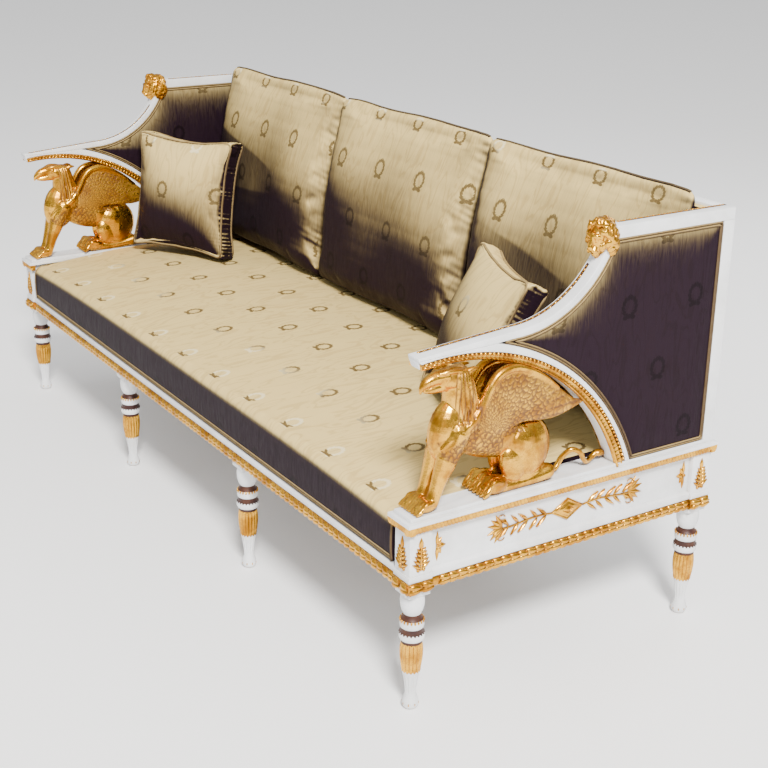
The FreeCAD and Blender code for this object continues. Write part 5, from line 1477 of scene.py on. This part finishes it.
beadRow = {"bead": (0.0030, 0.0044, 0.0020), "reel": (0.0022, 0.0010, 0.0017), "pitch": 0.0150,
           "inset": 0.0075, "top": 0.9474,
           "sweepStart": -0.366, "sweepEnd": 0.030, "railStart": 0.100, "railEnd": 0.392, "arm": 1.044,
           "shadeGroundStep": 0.006,
           "paintedShadeGround": [(-0.0036, -0.003), (0.0036, -0.003), (0.0036, 0.0004), (-0.0036, 0.0004)]}


def makeBeads(look):
    arm = treeOf(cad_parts["arm_sweep_right"].data)
    inside = []
    for y in np.linspace(look["sweepStart"], look["sweepEnd"], 120):  # the sweep's own top, found from above
        hit = arm.ray_cast(Vector((look["arm"] + look["inset"], y, 1.2)), Vector((0, 0, -1)))[0]
        if hit is not None:
            inside.append((y, hit[2] + 0.0003))
    x = look["arm"] + look["inset"]
    for side, sign in sides:
        shape, paintedShadeGround = Shape(), Shape()
        runs = [np.array(inside), np.array([(look["railStart"], look["top"]), (look["railEnd"], look["top"])])]
        for run in runs:
            strip = evenly(run, look["shadeGroundStep"])
            # painted shade: a dark strip under the row, seen in the gaps between the beads
            rows = [((x + a) * sign, y, z + b) for y, z in strip for a, b in look["paintedShadeGround"]]
            paintedShadeGround.add(rows, gridFaces(len(strip), 4, False, True))
            line = evenly(run, look["pitch"])
            for i in range(len(line) - 1):
                way = line[i + 1] - line[i]
                way /= np.linalg.norm(way)
                up = np.array((-way[1], way[0]))
                turn = np.array([(1, 0, 0), (0, *way), (0, *up)]).T
                shape.add(*ball((x * sign, *line[i]), look["bead"], turn, 6, 9))
                for share in (0.46, 0.62):
                    spot = line[i] + way * look["pitch"] * share
                    shape.add(*ball((x * sign, *spot), look["reel"], turn, 5, 8))
        addGilt("arm_beads_" + side, shape)
        # the dark strip is painted shade between the beads
        addPiece("arm_bead_gap_shade_" + side, paintedShadeGround.mesh("arm_bead_gap_shade_" + side, 40), bole)


makeBeads(beadRow)
print("bead rows made")


# applied ornament on the friezes and corner blocks

friezeOrnament = {"middle": 0.3585, "face": 1.0700, "lozenge": (0.043, 0.0255), "sprayStart": 0.046,
                  "sprayEnd": 0.166, "fan": 0.040, "leaves": 5, "trefoil": 0.325, "blockFace": 1.080,
                  "blockY": 0.369, "blockX": 1.054, "blockFront": 0.395, "palmette": (0.322, 0.392)}


def palmette(shape, foot, up, out, height):  # a fir-shaped palmette: pairs of leaflets on a stem
    up, out, foot = (np.asarray(v, float) for v in (up, out, foot))
    side = np.cross(up, out)
    shape.add(*tube([foot + up * t + out * 0.0008 for t in np.linspace(0, height * 0.9, 8)], 0.0019, 6))
    for k in range(5):
        t = k / 5
        for s in (-1, 1):
            way = up * math.cos(math.radians(58 - 16 * t)) + side * s * math.sin(math.radians(58 - 16 * t))
            shape.add(*leaf(foot + up * height * (0.05 + 0.62 * t), way, out, height * (0.34 - 0.17 * t),
                            height * 0.115, 0.0040, 0.0020))
    shape.add(*leaf(foot + up * height * 0.62, up, out, height * 0.38, height * 0.17, 0.0036, 0.001))
    for s in (-1, 1):
        shape.add(*ball(foot + side * s * 0.0065 + up * 0.0015, (0.0042, 0.0042, 0.0042), None, 6, 8))


def makeFriezeOrnament(side, sign, look):
    shape = Shape()
    up, out = np.array((0, 0, 1.0)), np.array((sign, 0, 0.0))
    middle = np.array((look["face"] * sign, 0, look["middle"]))
    wide, tall = look["lozenge"]
    rings = [(1.0, 0.0), (1.0, 0.0030), (0.88, 0.0046), (0.80, 0.0030), (0.66, 0.0034), (0.60, 0.0056),
             (0.38, 0.0062), (0.32, 0.0042), (0.16, 0.0064), (0.02, 0.0080)]
    corners = [(-1, 0), (-0.5, -0.5), (0, -1), (0.5, -0.5), (1, 0), (0.5, 0.5), (0, 1), (-0.5, 0.5)]
    points = [middle + out * (h - 0.0005) + np.array((0, a * wide * r, b * tall * r))
              for r, h in rings for a, b in corners]
    shape.add(points, capped(len(rings), len(corners)))
    for way in (-1, 1):
        along = np.array((0, way, 0.0))
        stem = []
        for t in np.linspace(0, 1, 16):
            reach = look["sprayStart"] - 0.004 + (look["sprayEnd"] + 0.004 - look["sprayStart"]) * t
            stem.append(middle + along * reach + up * 0.003 * math.sin(t * 5) + out * 0.0016)
        shape.add(*tube(stem, 0.0022, 7))
        for k in range(look["leaves"]):
            t = (k + 0.3) / look["leaves"]
            at = look["sprayStart"] + (look["sprayEnd"] - look["sprayStart"]) * t
            for s in (-1, 1):
                turn = math.radians(36 + 8 * (k % 2))
                heading = along * math.cos(turn) + up * s * math.sin(turn)
                shape.add(*leaf(middle + along * at + up * s * 0.001, heading, out,
                                0.034 - 0.004 * (k % 2), 0.0080, 0.0040, 0.004))
        bud = middle + along * look["sprayEnd"]
        for angle in (-58, -36, -14, 14, 36, 58):  # fan bud
            a = math.radians(angle)
            shape.add(*leaf(bud, along * math.cos(a) + up * math.sin(a), out,
                            look["fan"] * (1 - 0.1 * abs(angle) / 58), 0.0105, 0.0042, 0.001))
        for s in (-1, 1):  # curled tendrils over and under the bud
            tendril = [bud + along * (-0.012) + out * 0.002]
            for t in np.linspace(0, 1, 14):
                a = t * 4.6
                tendril.append(bud + along * (-0.006 + 0.012 * math.sin(a) + 0.014 * t)
                               + up * s * (0.016 + 0.010 * (1 - math.cos(a)) * 0.6) + out * 0.002)
            shape.add(*tube(curve(tendril, 0.002), 0.0012, 6))
    for y in (-look["trefoil"], look["trefoil"]):
        inward = np.array((0, -np.sign(y), 0.0))
        spot = np.array((look["face"] * sign, y, look["middle"]))
        for s in (-1, 1):
            shape.add(*leaf(spot, up * s, out, 0.032, 0.0085, 0.0038, 0.0008))
        for angle in (-62, 0, 62):
            a = math.radians(angle)
            shape.add(*leaf(spot, inward * math.cos(a) + up * math.sin(a), out, 0.020, 0.0115, 0.0045, 0.001))
        shape.add(*ball(spot + out * 0.003, (0.0042, 0.0042, 0.0042), None, 6, 8))
    foot, top = look["palmette"]
    for y in (-look["blockY"], look["blockY"]):
        palmette(shape, (look["blockFace"] * sign, y, foot), up, out, top - foot)
    palmette(shape, (look["blockX"] * sign, -look["blockFront"], foot), up, (0, -1, 0), top - foot)
    name = "frieze_mounts_" + side
    addGilt(name + "_carved", shape, 60, (name,))


for side, sign in sides:
    makeFriezeOrnament(side, sign, friezeOrnament)
print("frieze ornament made")


# back: stuffed inside pad and a stretched outside cover

backForm = {"step": 0.030, "crown": 0.006, "soft": 0.05, "fill": 0.7, "coverThick": 0.0008, "pipingOut": 0.0012,
            "pipingRows": [(0.004, 0.0030), (0.011, 0.0027)]}


def makeBack(look):
    low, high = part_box("back_pad")
    rim = evenly([(low[0], low[2]), (high[0], low[2]), (high[0], high[2]), (low[0], high[2])], 0.03, True)

    def lift(flat, height):
        return np.stack([flat[:, 0], -np.broadcast_to(height, (len(flat),)), flat[:, 1]], 1)

    mesh = panelMesh("back_pad_stuffed", rim, look["step"], -low[1] - look["crown"], -high[1],
                     (look["crown"], 0.0), (look["soft"], look["soft"]), lift)
    spots, _ = readPoints(mesh)
    spots[:, 1] = np.minimum(spots[:, 1], high[1])
    writePoints(mesh, spots)
    setCloth(mesh, boxCloth)
    pad = addPiece("back_pad_stuffed", mesh, plainSilk, stands=("back_pad",))
    low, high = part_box("back_outside_cover")
    xs, zs = np.linspace(low[0], high[0], 90), np.linspace(low[2], high[2], 30)
    points, behind = [], []
    for z in zs:
        for x in xs:
            edge = min(x - low[0], high[0] - x, z - low[2], high[2] - z)
            ripple = math.sin(x * 37 + z * 11) * min(1, edge / 0.1)
            sag = 0.0012 * (1 - math.exp(-edge / 0.05)) + 0.0004 * ripple
            points.append((x, high[1] - sag, z))
            behind.append((x, high[1] - sag - look["coverThick"], z))
    mesh = Shape().add(points + behind, slabFaces(len(zs), len(xs))).mesh("back_outside_stretched", 60)
    setCloth(mesh, lambda corners, normals: corners[:, [0, 2]] + (0.09, motifAlong * 8))
    cover = addPiece("back_outside_stretched", mesh, oliveSilk, stands=("back_outside_cover",))
    piping = Shape()
    for inset, radius in look["pipingRows"]:  # double piping round the cover
        near, far, foot, top = low[0] + inset, high[0] - inset, low[2] + inset, high[2] - inset
        rim = evenly([(near, foot), (far, foot), (far, top), (near, top)], 0.01, True)
        piping.add(*tube([(x, high[1] + look["pipingOut"], z) for x, z in rim], radius, 8, True))
    trim = addTrim("back_outside_piping", piping, pipingSilk)


makeBack(backForm)
print("back made")
